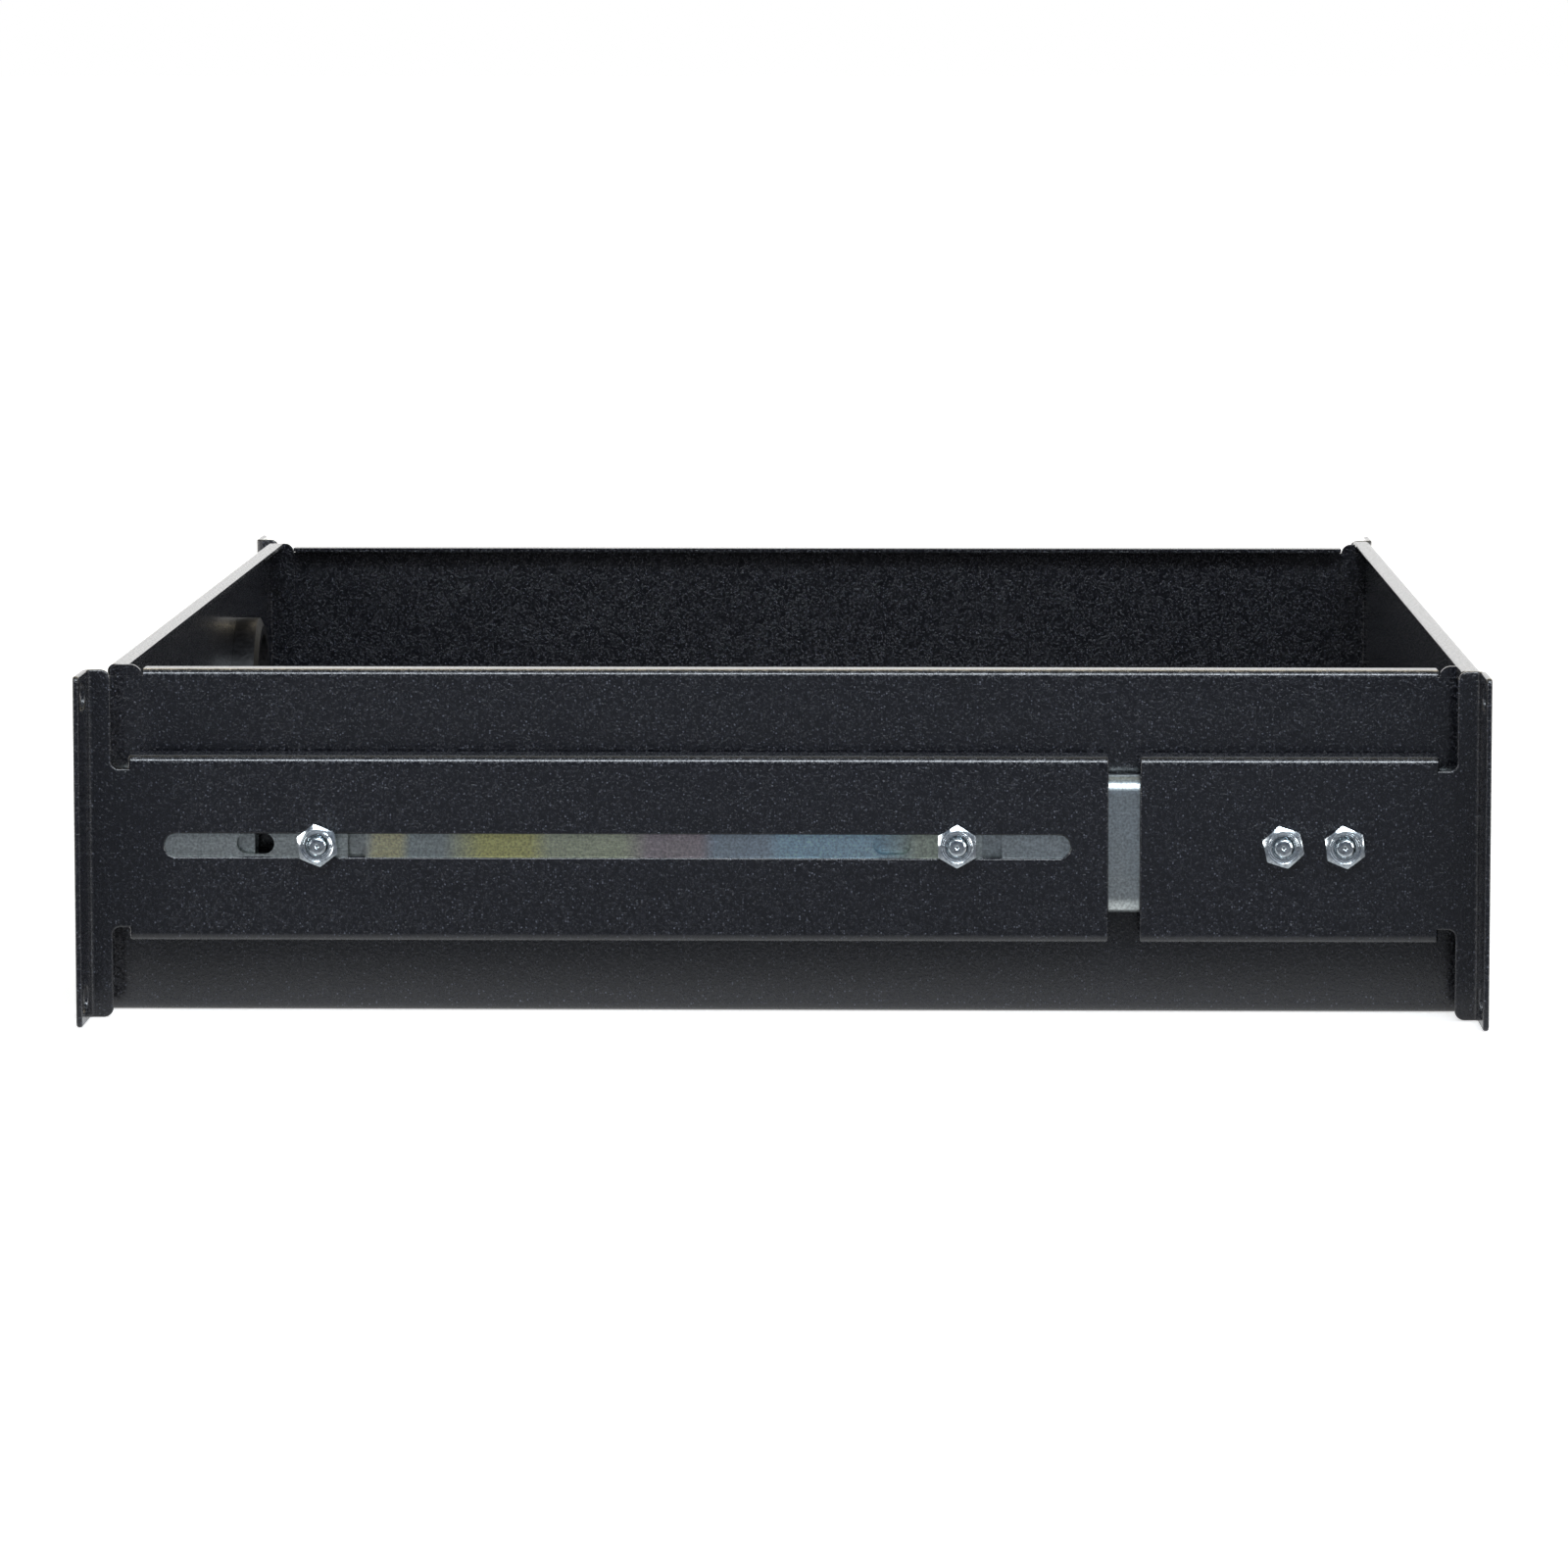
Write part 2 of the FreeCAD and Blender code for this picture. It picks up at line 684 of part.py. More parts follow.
def recessed_pull():
    """Snap-in cup with a finger lip along the top, its rim let into the front panel."""
    body = new_body("recessed_pull")
    gap = dim("fit_gap")
    middle = dim("rack_height") / 2
    rim = new_sketch(body, "YZ_Plane", "pull_rim_face", front_wall_x)
    pull_outline(rim, gap, dim("pull_corner") - gap)
    pad(body, rim, half_length - front_wall_x)
    cup = new_sketch(body, "YZ_Plane", "pull_cup", front_wall_x)
    pull_outline(cup, dim("pull_rim") + gap, dim("pull_cup_corner"))
    pad(body, cup, dim("pull_depth"), reverse=True)

    inner_half_width = dim("pull_width") / 2 - dim("pull_rim") - gap - dim("pull_wall")
    inner_half_height = dim("pull_height") / 2 - dim("pull_rim") - gap - dim("pull_wall")
    hollow = new_sketch(body, "YZ_Plane", "pull_hollow", front_wall_x)
    draw_outline(hollow, [
        (-inner_half_width, middle - inner_half_height),
        (inner_half_width, middle - inner_half_height),
        (inner_half_width, middle + inner_half_height),
        (-inner_half_width, middle + inner_half_height),
    ])
    cut_depth(body, hollow, dim("pull_depth") - dim("pull_wall"))
    mouth = new_sketch(body, "YZ_Plane", "pull_mouth", front_wall_x - gap)
    draw_outline(mouth, [
        (-inner_half_width, middle - inner_half_height),
        (inner_half_width, middle - inner_half_height),
        (inner_half_width, middle + inner_half_height - dim("pull_lip")),
        (-inner_half_width, middle + inner_half_height - dim("pull_lip")),
    ])
    cut_depth(body, mouth, half_length - front_wall_x + MARGIN, reverse=True)

    lugs = new_sketch(body, "YZ_Plane", "pull_lugs", front_wall_x - dim("box_sheet") - gap)
    lug_half = dim("pull_lug_width") / 2
    cup_edge = dim("pull_height") / 2 - dim("pull_rim") - gap
    for step in (-1, 1):
        draw_outline(lugs, [
            (-lug_half, middle + step * (cup_edge - dim("pull_wall") / 2)),
            (lug_half, middle + step * (cup_edge - dim("pull_wall") / 2)),
            (lug_half, middle + step * (cup_edge + dim("pull_lug_rise"))),
            (-lug_half, middle + step * (cup_edge + dim("pull_lug_rise"))),
        ])
    pad(body, lugs, dim("pull_wall"), reverse=True)
    return body


def cable_grommet():
    """Round rubber ring snapped into the rear wall, its groove gripping the sheet."""
    body = new_body("cable_grommet", (rear_wall_x.value, dim("grommet_offset").value,
                                      dim("grommet_height").value))
    gap = dim("grommet_gap")
    sheet_edge = dim("grommet_hole") / 2 - gap
    flange, bore = dim("grommet_flange") / 2, dim("grommet_bore") / 2
    inside = dim("box_sheet") + dim("grommet_inside")
    ease = dim("grommet_chamfer")
    ring = new_sketch(body, "XZ_Plane", "grommet_ring")
    draw_polygon(ring, [
        (-dim("grommet_outside"), bore),
        (inside, bore),
        (inside, flange - 2 * ease),
        (inside - ease, flange),
        (dim("box_sheet") + gap, flange),
        (dim("box_sheet") + gap, sheet_edge),
        (-gap, sheet_edge),
        (-gap, flange),
        (-dim("grommet_outside"), flange - ease),
    ])
    turned = body.newObject("PartDesign::Revolution", "grommet_turned")
    turned.Profile = ring
    turned.ReferenceAxis = (ring, ["H_Axis"])
    turned.Angle = 360
    doc.recompute()
    return body


# ---- telescopic slides -------------------------------------------------------------------------------
# A slide is drawn in its own section: across is measured from the bracket towards the box, up from the
# slide's axis. Each member is a strip of sheet that follows a centre line of straight and round stretches.

def number(alias):
    return dim(alias).value


def polar(centre, radius, degrees):
    angle = math.radians(degrees)
    return (centre[0] + radius * math.cos(angle), centre[1] + radius * math.sin(angle))


def bearing(origin, target):
    return math.degrees(math.atan2(target[1] - origin[1], target[0] - origin[0]))


def line_step(start, finish):
    return ("line", start, finish)


def arc_step(centre, radius, first, last):
    return ("arc", centre, radius, first, last)


def mirrored_step(step):
    """The same stretch below the slide's axis, run the other way."""
    if step[0] == "line":
        (a, b), (c, d) = step[1], step[2]
        return line_step((c, -d), (a, -b))
    centre, radius, first, last = step[1:]
    return arc_step((centre[0], -centre[1]), radius, -last, -first)


def offset_edge(step, shift):
    """One stretch moved sideways, to the left of the way it runs, with its two ends."""
    if step[0] == "line":
        (a, b), (c, d) = step[1], step[2]
        length = math.hypot(c - a, d - b)
        left = (-(d - b) / length * shift, (c - a) / length * shift)
        start, finish = (a + left[0], b + left[1]), (c + left[0], d + left[1])
        return Part.LineSegment(Vector(0, *start), Vector(0, *finish)).toShape(), start, finish
    centre, radius, first, last = step[1:]
    reach = radius - shift if last > first else radius + shift
    start, finish = polar(centre, reach, first), polar(centre, reach, last)
    middle = polar(centre, reach, (first + last) / 2)
    arc = Part.Arc(Vector(0, *start), Vector(0, *middle), Vector(0, *finish))
    return arc.toShape(), start, finish


def strip(steps, gauge, length):
    """Sheet of the given gauge along the stretches, extruded along X."""
    left = [offset_edge(step, gauge / 2) for step in steps]
    right = [offset_edge(step, -gauge / 2) for step in steps]
    edges = [entry[0] for entry in left]
    edges.append(Part.LineSegment(Vector(0, *left[-1][2]), Vector(0, *right[-1][2])).toShape())
    edges += [entry[0] for entry in reversed(right)]
    edges.append(Part.LineSegment(Vector(0, *right[0][1]), Vector(0, *left[0][1])).toShape())
    wire = Part.Wire(Part.__sortEdges__(edges))
    return Part.Face(wire).extrude(Vector(length, 0, 0))


def whole_section(half):
    """A half section above the axis, joined to its image below."""
    return [mirrored_step(step) for step in reversed(half)] + half


def race_layout():
    """Ball centres and the bend centres that carry each member's sheet round them."""
    outer_track = number("ball_radius") + number("race_clearance") + number("outer_sheet") / 2
    middle_track = number("ball_radius") + number("race_clearance") + number("middle_sheet") / 2
    inner_track = number("ball_radius") + number("race_clearance") + number("inner_sheet") / 2
    shoulder = number("shoulder_radius")
    shoulder_x = number("outer_sheet") / 2 + shoulder
    shoulder_up = number("slide_height") / 2 - number("outer_sheet") / 2 - shoulder
    step_x = number("ball_inset") - shoulder_x
    ball_up = shoulder_up + math.sqrt((shoulder - outer_track) ** 2 - step_x ** 2)
    outer_ball = (number("ball_inset"), ball_up)
    inner_ball = polar(outer_ball, 2 * middle_track, -number("race_step_angle"))
    bend = number("middle_bend")
    bend_x = number("middle_web") + bend
    bend_up = ball_up - math.sqrt((bend + middle_track) ** 2 - (outer_ball[0] - bend_x) ** 2)
    inner_web = number("slide_thickness") - number("inner_sheet") / 2
    inner_x = inner_web - number("inner_bend")
    reach = number("inner_bend") + inner_track
    inner_up = inner_ball[1] - math.sqrt(reach ** 2 - (inner_x - inner_ball[0]) ** 2)
    return {
        "outer_track": outer_track, "middle_track": middle_track, "inner_track": inner_track,
        "outer_ball": outer_ball, "inner_ball": inner_ball,
        "shoulder": (shoulder_x, shoulder_up), "middle_bend": (bend_x, bend_up),
        "inner_web": inner_web, "inner_bend": (inner_x, inner_up),
    }


RACES = race_layout()


def outer_section():
    ball, shoulder = RACES["outer_ball"], RACES["shoulder"]
    web = number("outer_sheet") / 2
    crest = bearing(shoulder, ball)
    return whole_section([
        line_step((web, 0.0), (web, shoulder[1])),
        arc_step(shoulder, number("shoulder_radius"), 180.0, crest),
        arc_step(ball, RACES["outer_track"], crest, number("outer_lip_angle")),
    ])


def middle_section():
    outer_ball, inner_ball, bend = RACES["outer_ball"], RACES["inner_ball"], RACES["middle_bend"]
    web = number("middle_web")
    track = RACES["middle_track"]
    return whole_section([
        line_step((web, 0.0), (web, bend[1])),
        arc_step(bend, number("middle_bend"), 180.0, bearing(bend, outer_ball)),
        arc_step(outer_ball, track, bearing(outer_ball, bend), -number("race_step_angle")),
        arc_step(inner_ball, track, 180.0 - number("race_step_angle"), number("middle_lip_angle")),
    ])


def inner_section():
    ball, bend, web = RACES["inner_ball"], RACES["inner_bend"], RACES["inner_web"]
    return whole_section([
        line_step((web, 0.0), (web, bend[1])),
        arc_step(bend, number("inner_bend"), 0.0, bearing(bend, ball)),
        arc_step(ball, RACES["inner_track"], bearing(ball, bend), -number("inner_lip_angle")),
    ])


def cage_section(web, bend, ball, reach):
    """Channel whose flanges run level through the ball centres."""
    corner = (web + bend, ball[1] - bend)
    return whole_section([
        line_step((web, 0.0), (web, corner[1])),
        arc_step(corner, bend, 180.0, 90.0),
        line_step((corner[0], ball[1]), (reach, ball[1])),
    ])


def across_slot(x, length, height):
    """Cutter with round ends along X that goes right across the slide."""
    depth = number("slide_thickness")
    run = (length - height) / 2
    ends = [Part.makeCylinder(height / 2, depth, Vector(x + sign * run, 0, 0), Vector(0, 1, 0))
            for sign in (-1, 1)]
    block = Part.makeBox(2 * run, depth, height, Vector(x - run, 0, -height / 2))
    return ends[0].fuse([ends[1], block])


def across_block(x, length, height):
    """Square-cornered cutter that goes right across the slide."""
    depth = number("slide_thickness")
    return Part.makeBox(length, depth, height, Vector(x - length / 2, 0, -height / 2))


def sided_bar(apothem, length, sides, turn=0.0):
    """Regular bar along +Y from y = 0; the apothem is half its width over flats."""
    reach = apothem / math.cos(math.pi / sides)
    step = 2 * math.pi / sides
    start = math.radians(turn)
    points = [Vector(reach * math.sin(start + step * i), 0, reach * math.cos(start + step * i))
              for i in range(sides)]
    return Part.Face(Part.makePolygon(points + points[:1])).extrude(Vector(0, length, 0))


def place_slide_piece(label, shape, start_x):
    """Left-hand piece of a slide, set against the inside of the left bracket."""
    piece = doc.addObject("Part::Feature", label)
    piece.Label = label
    piece.Shape = shape
    piece.Placement = Placement(Vector(start_x, -web_inner.value, number("slide_axis")), Rotation())
    return piece


def stud_positions():
    rear = [-half_length.value + distance for distance in REAR_STUDS]
    front = [half_length.value - distance for distance in FRONT_STUDS]
    return rear + front


OUTER_REAR = -half_length.value + number("slide_rear_gap")
OUTER_FRONT = front_wall_x.value - number("slide_front_gap")
MEMBER_REAR = OUTER_REAR + number("member_setback")


def slide_outer():
    shape = strip(outer_section(), number("outer_sheet"), OUTER_FRONT - OUTER_REAR)
    rear_plane = -half_length.value - OUTER_REAR
    cutters = [across_slot(rear_plane + x, length, height) for x, length, height in OBLONG_OPENINGS]
    cutters += [across_block(rear_plane + x, length, height) for x, length, height in SQUARE_OPENINGS]
    return place_slide_piece("slide_outer_left", shape.cut(cutters), OUTER_REAR)


def access_window():
    """Cutter for the window that the inner two members share while the drawer is closed."""
    x, length, height = ACCESS_WINDOW
    return across_block(x - half_length.value - MEMBER_REAR, length, height)


def slide_middle():
    shape = strip(middle_section(), number("middle_sheet"), OUTER_FRONT - MEMBER_REAR)
    return place_slide_piece("slide_middle_left", shape.cut(access_window()), MEMBER_REAR)


def slide_inner():
    shape = strip(inner_section(), number("inner_sheet"), OUTER_FRONT - MEMBER_REAR)
    cutters = [access_window()]
    for x in DRAWER_STUDS:
        cutter = stud_bore(number("small_stud_diameter"), number("slide_thickness"))
        cutter.translate(Vector(x - MEMBER_REAR, 0, 0))
        cutters.append(cutter)
    return place_slide_piece("slide_inner_left", shape.cut(cutters), MEMBER_REAR)


def stud_bore(diameter, length):
    """Hole that clears a stud's corners all round."""
    apothem = diameter / 2 + number("nut_clearance")
    return sided_bar(apothem, length, SMALL_SIDES)


def ball_stations():
    run = number("cage_length") - 2 * BALL_END_MARGIN
    return [BALL_END_MARGIN + run * i / (BALLS_PER_ROW - 1) for i in range(BALLS_PER_ROW)]


def ball_cage(label, section, ball):
    """Strip that spaces the balls, open along its middle except for two bridges."""
    length = number("cage_length")
    bridge = number("cage_bridge")
    window = number("cage_window")
    depth = number("slide_thickness")
    shape = strip(section, number("cage_sheet"), length)
    first_window = Part.makeBox(2 * bridge, depth, 2 * window, Vector(bridge, 0, -window))
    rest = Part.makeBox(length, depth, 2 * window, Vector(4 * bridge, 0, -window))
    cutters = [first_window, rest]
    pocket = number("ball_pocket")
    for x in ball_stations():
        for sign in (-1, 1):
            corner = Vector(x - pocket / 2, ball[0] - pocket / 2, sign * ball[1] - pocket / 2)
            cutters.append(Part.makeBox(pocket, pocket, pocket, corner))
    return place_slide_piece(label, shape.cut(cutters), number("cage_rear"))


def ball_at(centre):
    """Ball with flat facets whose corners lie on the true ball."""
    radius = number("ball_radius")
    step = 2 * math.pi / BALL_SIDES
    rings = []
    for tilt in (-45.0, 0.0, 45.0):
        reach, rise = radius * math.cos(math.radians(tilt)), radius * math.sin(math.radians(tilt))
        rings.append([centre + Vector(reach * math.cos(step * i), reach * math.sin(step * i), rise)
                      for i in range(BALL_SIDES)])
    faces = []
    for i in range(BALL_SIDES):
        following = (i + 1) % BALL_SIDES
        for low, high in zip(rings, rings[1:]):
            faces.append([low[i], low[following], high[following], high[i]])
        faces.append([rings[0][following], rings[0][i], centre - Vector(0, 0, radius)])
        faces.append([rings[-1][i], rings[-1][following], centre + Vector(0, 0, radius)])
    shell = Part.makeShell([Part.Face(Part.makePolygon(face + face[:1])) for face in faces])
    return Part.makeSolid(shell)


def ball_rows(label, ball):
    balls = [ball_at(Vector(x, ball[0], sign * ball[1])) for x in ball_stations() for sign in (-1, 1)]
    return place_slide_piece(label, Part.makeCompound(balls), number("cage_rear"))


def rear_bumper():
    """Soft block in the rear end of the outer member that the moving members close against."""
    body = new_body("rear_bumper_left", (OUTER_REAR, -web_inner.value, number("slide_axis")))
    section = new_sketch(body, "YZ_Plane", "bumper_section")
    half = dim("bumper_half_height")
    draw_outline(section, [
        (dim("outer_sheet"), -half),
        (dim("bumper_reach"), -half),
        (dim("bumper_reach"), half),
        (dim("outer_sheet"), half),
    ])
    pad(body, section, dim("bumper_length"))
    return body


# ---- fixings -----------------------------------------------------------------------------------------
# The studs stand square on a sheet's outer face, and their nuts are screwed on from outside.

def hex_nut(flats, height, stud_diameter, turn):
    """Hexagon nut lying along +Y from its seat at y = 0."""
    return sided_bar(flats / 2, height, 6, turn).cut(stud_bore(stud_diameter, height))


def stud(diameter, length):
    """Stud along +Y from y = 0, its corners on the true diameter."""
    return sided_bar(diameter / 2 * math.cos(math.pi / SMALL_SIDES), length, SMALL_SIDES)


def place_fixings(label, shapes, stations, base_y):
    """Equal fixings in one node, pointing away from the drawer's centre line."""
    moved = []
    for shape, x in zip(shapes, stations):
        shape.translate(Vector(-x, 0, 0))
        moved.append(shape)
    piece = doc.addObject("Part::Feature", label)
    piece.Label = label
    piece.Shape = Part.makeCompound(moved)
    piece.Placement = Placement(Vector(0, base_y, number("slide_axis")), Rotation(Vector(0, 0, 1), 180))
    return piece


def bracket_fixings():
    """Studs of the slide's outer member, and the nuts that clamp the brackets on them."""
    diameter = number("stud_diameter")
    length = number("bracket_sheet") + number("nut_height") + number("stud_end")
    stations = stud_positions()
    studs = [stud(diameter, length) for _ in stations]
    nuts = [hex_nut(number("nut_flats"), number("nut_height"), diameter, turn) for turn in NUT_TURNS]
    return (place_fixings("bracket_studs_left", studs, stations, -web_inner.value),
            place_fixings("bracket_nuts_left", nuts, stations, -web_outer.value))


def drawer_fixings():
    """Studs of the box's side, and the thin nuts that hold the inner member on them."""
    diameter = number("small_stud_diameter")
    seat = number("inner_sheet")
    length = seat + number("small_nut_height") + number("small_stud_end")
    studs = [stud(diameter, length) for _ in DRAWER_STUDS]
    nuts = [hex_nut(number("small_nut_flats"), number("small_nut_height"), diameter, 0.0)
            for _ in DRAWER_STUDS]
    return (place_fixings("drawer_studs_left", studs, DRAWER_STUDS, -box_half.value),
            place_fixings("drawer_nuts_left", nuts, DRAWER_STUDS, -box_half.value - seat))


# ---- assembly ----------------------------------------------------------------------------------------

def build():
    left_pieces = [
        rear_bracket(),
        front_bracket(),
        slide_outer(),
        slide_middle(),
        slide_inner(),
        ball_cage("outer_cage_left", cage_section(
            number("outer_cage_web"), number("outer_cage_bend"), RACES["outer_ball"],
            RACES["outer_ball"][0] + number("ball_radius") - number("cage_sheet")), RACES["outer_ball"]),
        ball_cage("inner_cage_left", cage_section(
            number("inner_cage_web"), number("inner_cage_bend"), RACES["inner_ball"],
            RACES["inner_ball"][0] + number("ball_radius") - number("cage_sheet")), RACES["inner_ball"]),
        ball_rows("outer_balls_left", RACES["outer_ball"]),
        ball_rows("inner_balls_left", RACES["inner_ball"]),
        rear_bumper(),
    ]
    left_pieces += bracket_fixings()
    left_pieces += drawer_fixings()
    doc.recompute()
    twins = [mirror_part(piece, piece.Label.replace("left", "right")) for piece in left_pieces]
    box = [drawer_tray(), rear_wall(), front_wall(), front_panel(), recessed_pull(), cable_grommet()]
    doc.recompute()
    return left_pieces + twins + box


def export(pieces):
    for item in doc.Objects:
        if "Invalid" in item.State or "Error" in item.State:
            raise RuntimeError("%s failed: %s" % (item.Name, item.State))
    for piece in pieces:
        if piece.Shape.isNull() or not piece.Shape.isValid() or not piece.Shape.Solids:
            raise RuntimeError("%s has no valid solid" % piece.Label)
    os.makedirs("parts", exist_ok=True)
    for piece in pieces:
        piece.Shape.exportStep("parts/%s.step" % piece.Label)
        print("%-22s %2d solids %10.1f mm3" % (piece.Label, len(piece.Shape.Solids), piece.Shape.Volume))


export(build())
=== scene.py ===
"""Sliding rack drawer: finishes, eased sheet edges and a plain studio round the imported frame."""
import json
import math

import bmesh
import bpy
from bpy.props import FloatProperty, FloatVectorProperty, PointerProperty
from mathutils import Matrix, Vector


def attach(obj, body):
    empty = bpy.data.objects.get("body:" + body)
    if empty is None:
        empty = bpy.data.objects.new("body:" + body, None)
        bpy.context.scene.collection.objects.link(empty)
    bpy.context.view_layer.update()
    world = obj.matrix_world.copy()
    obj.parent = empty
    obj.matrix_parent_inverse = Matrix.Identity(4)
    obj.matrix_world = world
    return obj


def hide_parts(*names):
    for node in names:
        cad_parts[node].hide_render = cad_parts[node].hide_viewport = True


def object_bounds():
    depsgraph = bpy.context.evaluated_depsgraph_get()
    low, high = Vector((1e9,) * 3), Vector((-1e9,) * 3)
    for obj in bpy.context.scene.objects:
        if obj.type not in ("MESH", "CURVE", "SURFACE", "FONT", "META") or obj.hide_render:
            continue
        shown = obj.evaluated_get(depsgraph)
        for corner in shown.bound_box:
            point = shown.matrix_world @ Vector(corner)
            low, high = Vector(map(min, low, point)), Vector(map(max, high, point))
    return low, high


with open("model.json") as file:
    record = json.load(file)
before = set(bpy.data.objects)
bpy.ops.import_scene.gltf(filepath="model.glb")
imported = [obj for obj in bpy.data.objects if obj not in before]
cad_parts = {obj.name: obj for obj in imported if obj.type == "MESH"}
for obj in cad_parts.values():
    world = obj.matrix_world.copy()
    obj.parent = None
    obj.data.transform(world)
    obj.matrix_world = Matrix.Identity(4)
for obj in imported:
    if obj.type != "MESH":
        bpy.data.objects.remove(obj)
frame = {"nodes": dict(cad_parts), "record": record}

bl_info = {
    "name": "Sliding rack drawer",
    "version": (1, 0, 0),
    "blender": (4, 5, 0),
    "location": "View3D > Sidebar > Rack Drawer",
    "description": "Dresses the frame of a sliding rack drawer and builds the studio it stands in",
    "category": "Object",
}

NODES = frame["nodes"]
BODY_OF = {node: body for body, nodes in frame["record"]["behaviour"]["bodies"].items() for node in nodes}
CAD_BOX = [list(corner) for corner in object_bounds()]
SIDES = ("left", "right")
WHITE = (1.0, 1.0, 1.0, 1.0)
MERGE_DISTANCE = 1e-6

# Sheet pieces whose small corner reliefs leave less room to round.
RELIEVED = ("drawer_tray", "front_wall", "rear_wall")

# Nuts and studs: radii of the threads, pitches, and the gap over the bracket that slides under a nut.
SLIDING_GAP = 0.00003
BRACKET_BORE, BRACKET_PITCH = 0.00242, 0.0008
DRAWER_BORE, DRAWER_PITCH = 0.00202, 0.0007
STEPS_PER_PITCH = 8
THREAD_DEPTH = 0.30

# Turned ends: radii as shares of a nut's half width or a stud's radius, with their heights over the end.
NUT_FACE = 0.93
NUT_CHAMFER = math.radians(28)
NUT_RINGS = ((NUT_FACE, 0.0), (0.87, 0.00012), (0.82, 0.00002), (0.78, 0.00016), (0.72, 0.00006),
             (0.69, 0.00018))
NUT_COUNTERSINK = ((0.00052, 0.00016), (0.00010, -0.00045), (0.0, -0.00060))
STUD_CHAMFER = (0.00050, 1.1)
STUD_CROWN = ((0.76, 0.0), (0.66, 0.00010), (0.50, 0.00017), (0.30, 0.00020), (0.20, 0.00010),
              (0.06, -0.00025))

# Passivated zinc along the slide: where each colour starts and ends, as shares of its length.
ZINC_ENDS = ((0.62, 0.66, 0.64), (0.58, 0.64, 0.67))
ZINC_FILM = (
    (0.150, 0.198, (0.62, 0.66, 0.63)), (0.204, 0.222, (0.90, 0.84, 0.50)),
    (0.230, 0.255, (0.53, 0.59, 0.57)), (0.283, 0.316, (0.90, 0.86, 0.34)),
    (0.330, 0.385, (0.76, 0.80, 0.56)), (0.404, 0.442, (0.60, 0.50, 0.52)),
    (0.452, 0.494, (0.50, 0.60, 0.69)), (0.503, 0.575, (0.58, 0.82, 0.96)),
    (0.600, 0.616, (0.64, 0.70, 0.56)), (0.650, 0.700, (0.58, 0.64, 0.65)))

# What the metal reflects, from behind the camera (0) to behind the drawer (1).
ROOM_TONES = ((0.40, (0.20, 0.23, 0.27)), (0.55, (0.36, 0.36, 0.33)),
              (0.75, (0.42, 0.38, 0.28)), (0.90, (0.50, 0.48, 0.42)))
BRIGHT_FROM = 0.97

# Floor: its own tone, the tone that the metal reflects in front, and the spans over which these change.
FLOOR_TONE = (0.62, 0.62, 0.62, 1.0)
FRONT_FLOOR_TONE = (0.140, 0.145, 0.160, 1.0)
FLOOR_HALF_SIZE = 40.0
FLOOR_DROP = 0.0002
SHADE_SPAN = (0.35, 1.0)
SHADE_LEVEL = 0.66
MIRROR_SPAN = (-0.29, -0.15)


# ---- sizes and colours that a user would change --------------------------------------------------------

class RackDrawerFinish(bpy.types.PropertyGroup):
    """Colours and surface sizes of the drawer's finishes."""
    coat_colour: FloatVectorProperty(
        name="Coat colour", description="Powder coat of the brackets and the box",
        subtype="COLOR", size=3, min=0.0, max=1.0, default=(0.0030, 0.0034, 0.0060))
    # Painted highlight: this lighter colour goes on a few specks that stand in for glints off the coat's
    # grain.
    coat_glint_colour: FloatVectorProperty(
        name="Coat glint colour", description="Painted glints on the powder coat's grain",
        subtype="COLOR", size=3, min=0.0, max=1.0, default=(0.100, 0.108, 0.135))
    coat_grain: FloatProperty(
        name="Coat grain", description="Width of one grain of the powder coat",
        subtype="DISTANCE", unit="LENGTH", min=0.0001, default=0.00062)
    coat_relief: FloatProperty(
        name="Coat relief", description="Height of the powder coat's grain",
        subtype="DISTANCE", unit="LENGTH", min=0.0, default=0.000086)
    coat_roughness: FloatProperty(
        name="Coat roughness", description="Roughness of the powder coat between its grains",
        subtype="FACTOR", min=0.0, max=1.0, default=0.22)
    zinc_colour: FloatVectorProperty(
        name="Zinc colour", description="Zinc plate of the slides",
        subtype="COLOR", size=3, min=0.0, max=1.0, default=(0.60, 0.65, 0.65))
    zinc_tint: FloatVectorProperty(
        name="Zinc tint", description="Warm clouds in the zinc plate",
        subtype="COLOR", size=3, min=0.0, max=1.0, default=(0.68, 0.66, 0.56))
    zinc_bands: FloatProperty(
        name="Zinc bands", description="How strongly the passivated zinc changes colour along its length",
        subtype="FACTOR", min=0.0, max=1.0, default=0.9)
    fixing_colour: FloatVectorProperty(
        name="Fixing colour", description="Zinc plate of the nuts and studs",
        subtype="COLOR", size=3, min=0.0, max=1.0, default=(0.74, 0.80, 0.83))
    strip_colour: FloatVectorProperty(
        name="Cage colour", description="Steel strip of the ball cages",
        subtype="COLOR", size=3, min=0.0, max=1.0, default=(0.60, 0.58, 0.54))
    ball_colour: FloatVectorProperty(
        name="Ball colour", description="Polished steel of the balls",
        subtype="COLOR", size=3, min=0.0, max=1.0, default=(0.78, 0.78, 0.80))
    rubber_colour: FloatVectorProperty(
        name="Rubber colour", description="Grommet and bumpers",
        subtype="COLOR", size=3, min=0.0, max=1.0, default=(0.006, 0.006, 0.007))
    plastic_colour: FloatVectorProperty(
        name="Plastic colour", description="Recessed pull",
        subtype="COLOR", size=3, min=0.0, max=1.0, default=(0.014, 0.014, 0.016))
    edge_ease: FloatProperty(
        name="Edge ease", description="Rounding that the coat gives a sheared sheet edge",
        subtype="DISTANCE", unit="LENGTH", min=0.0, default=0.00055)


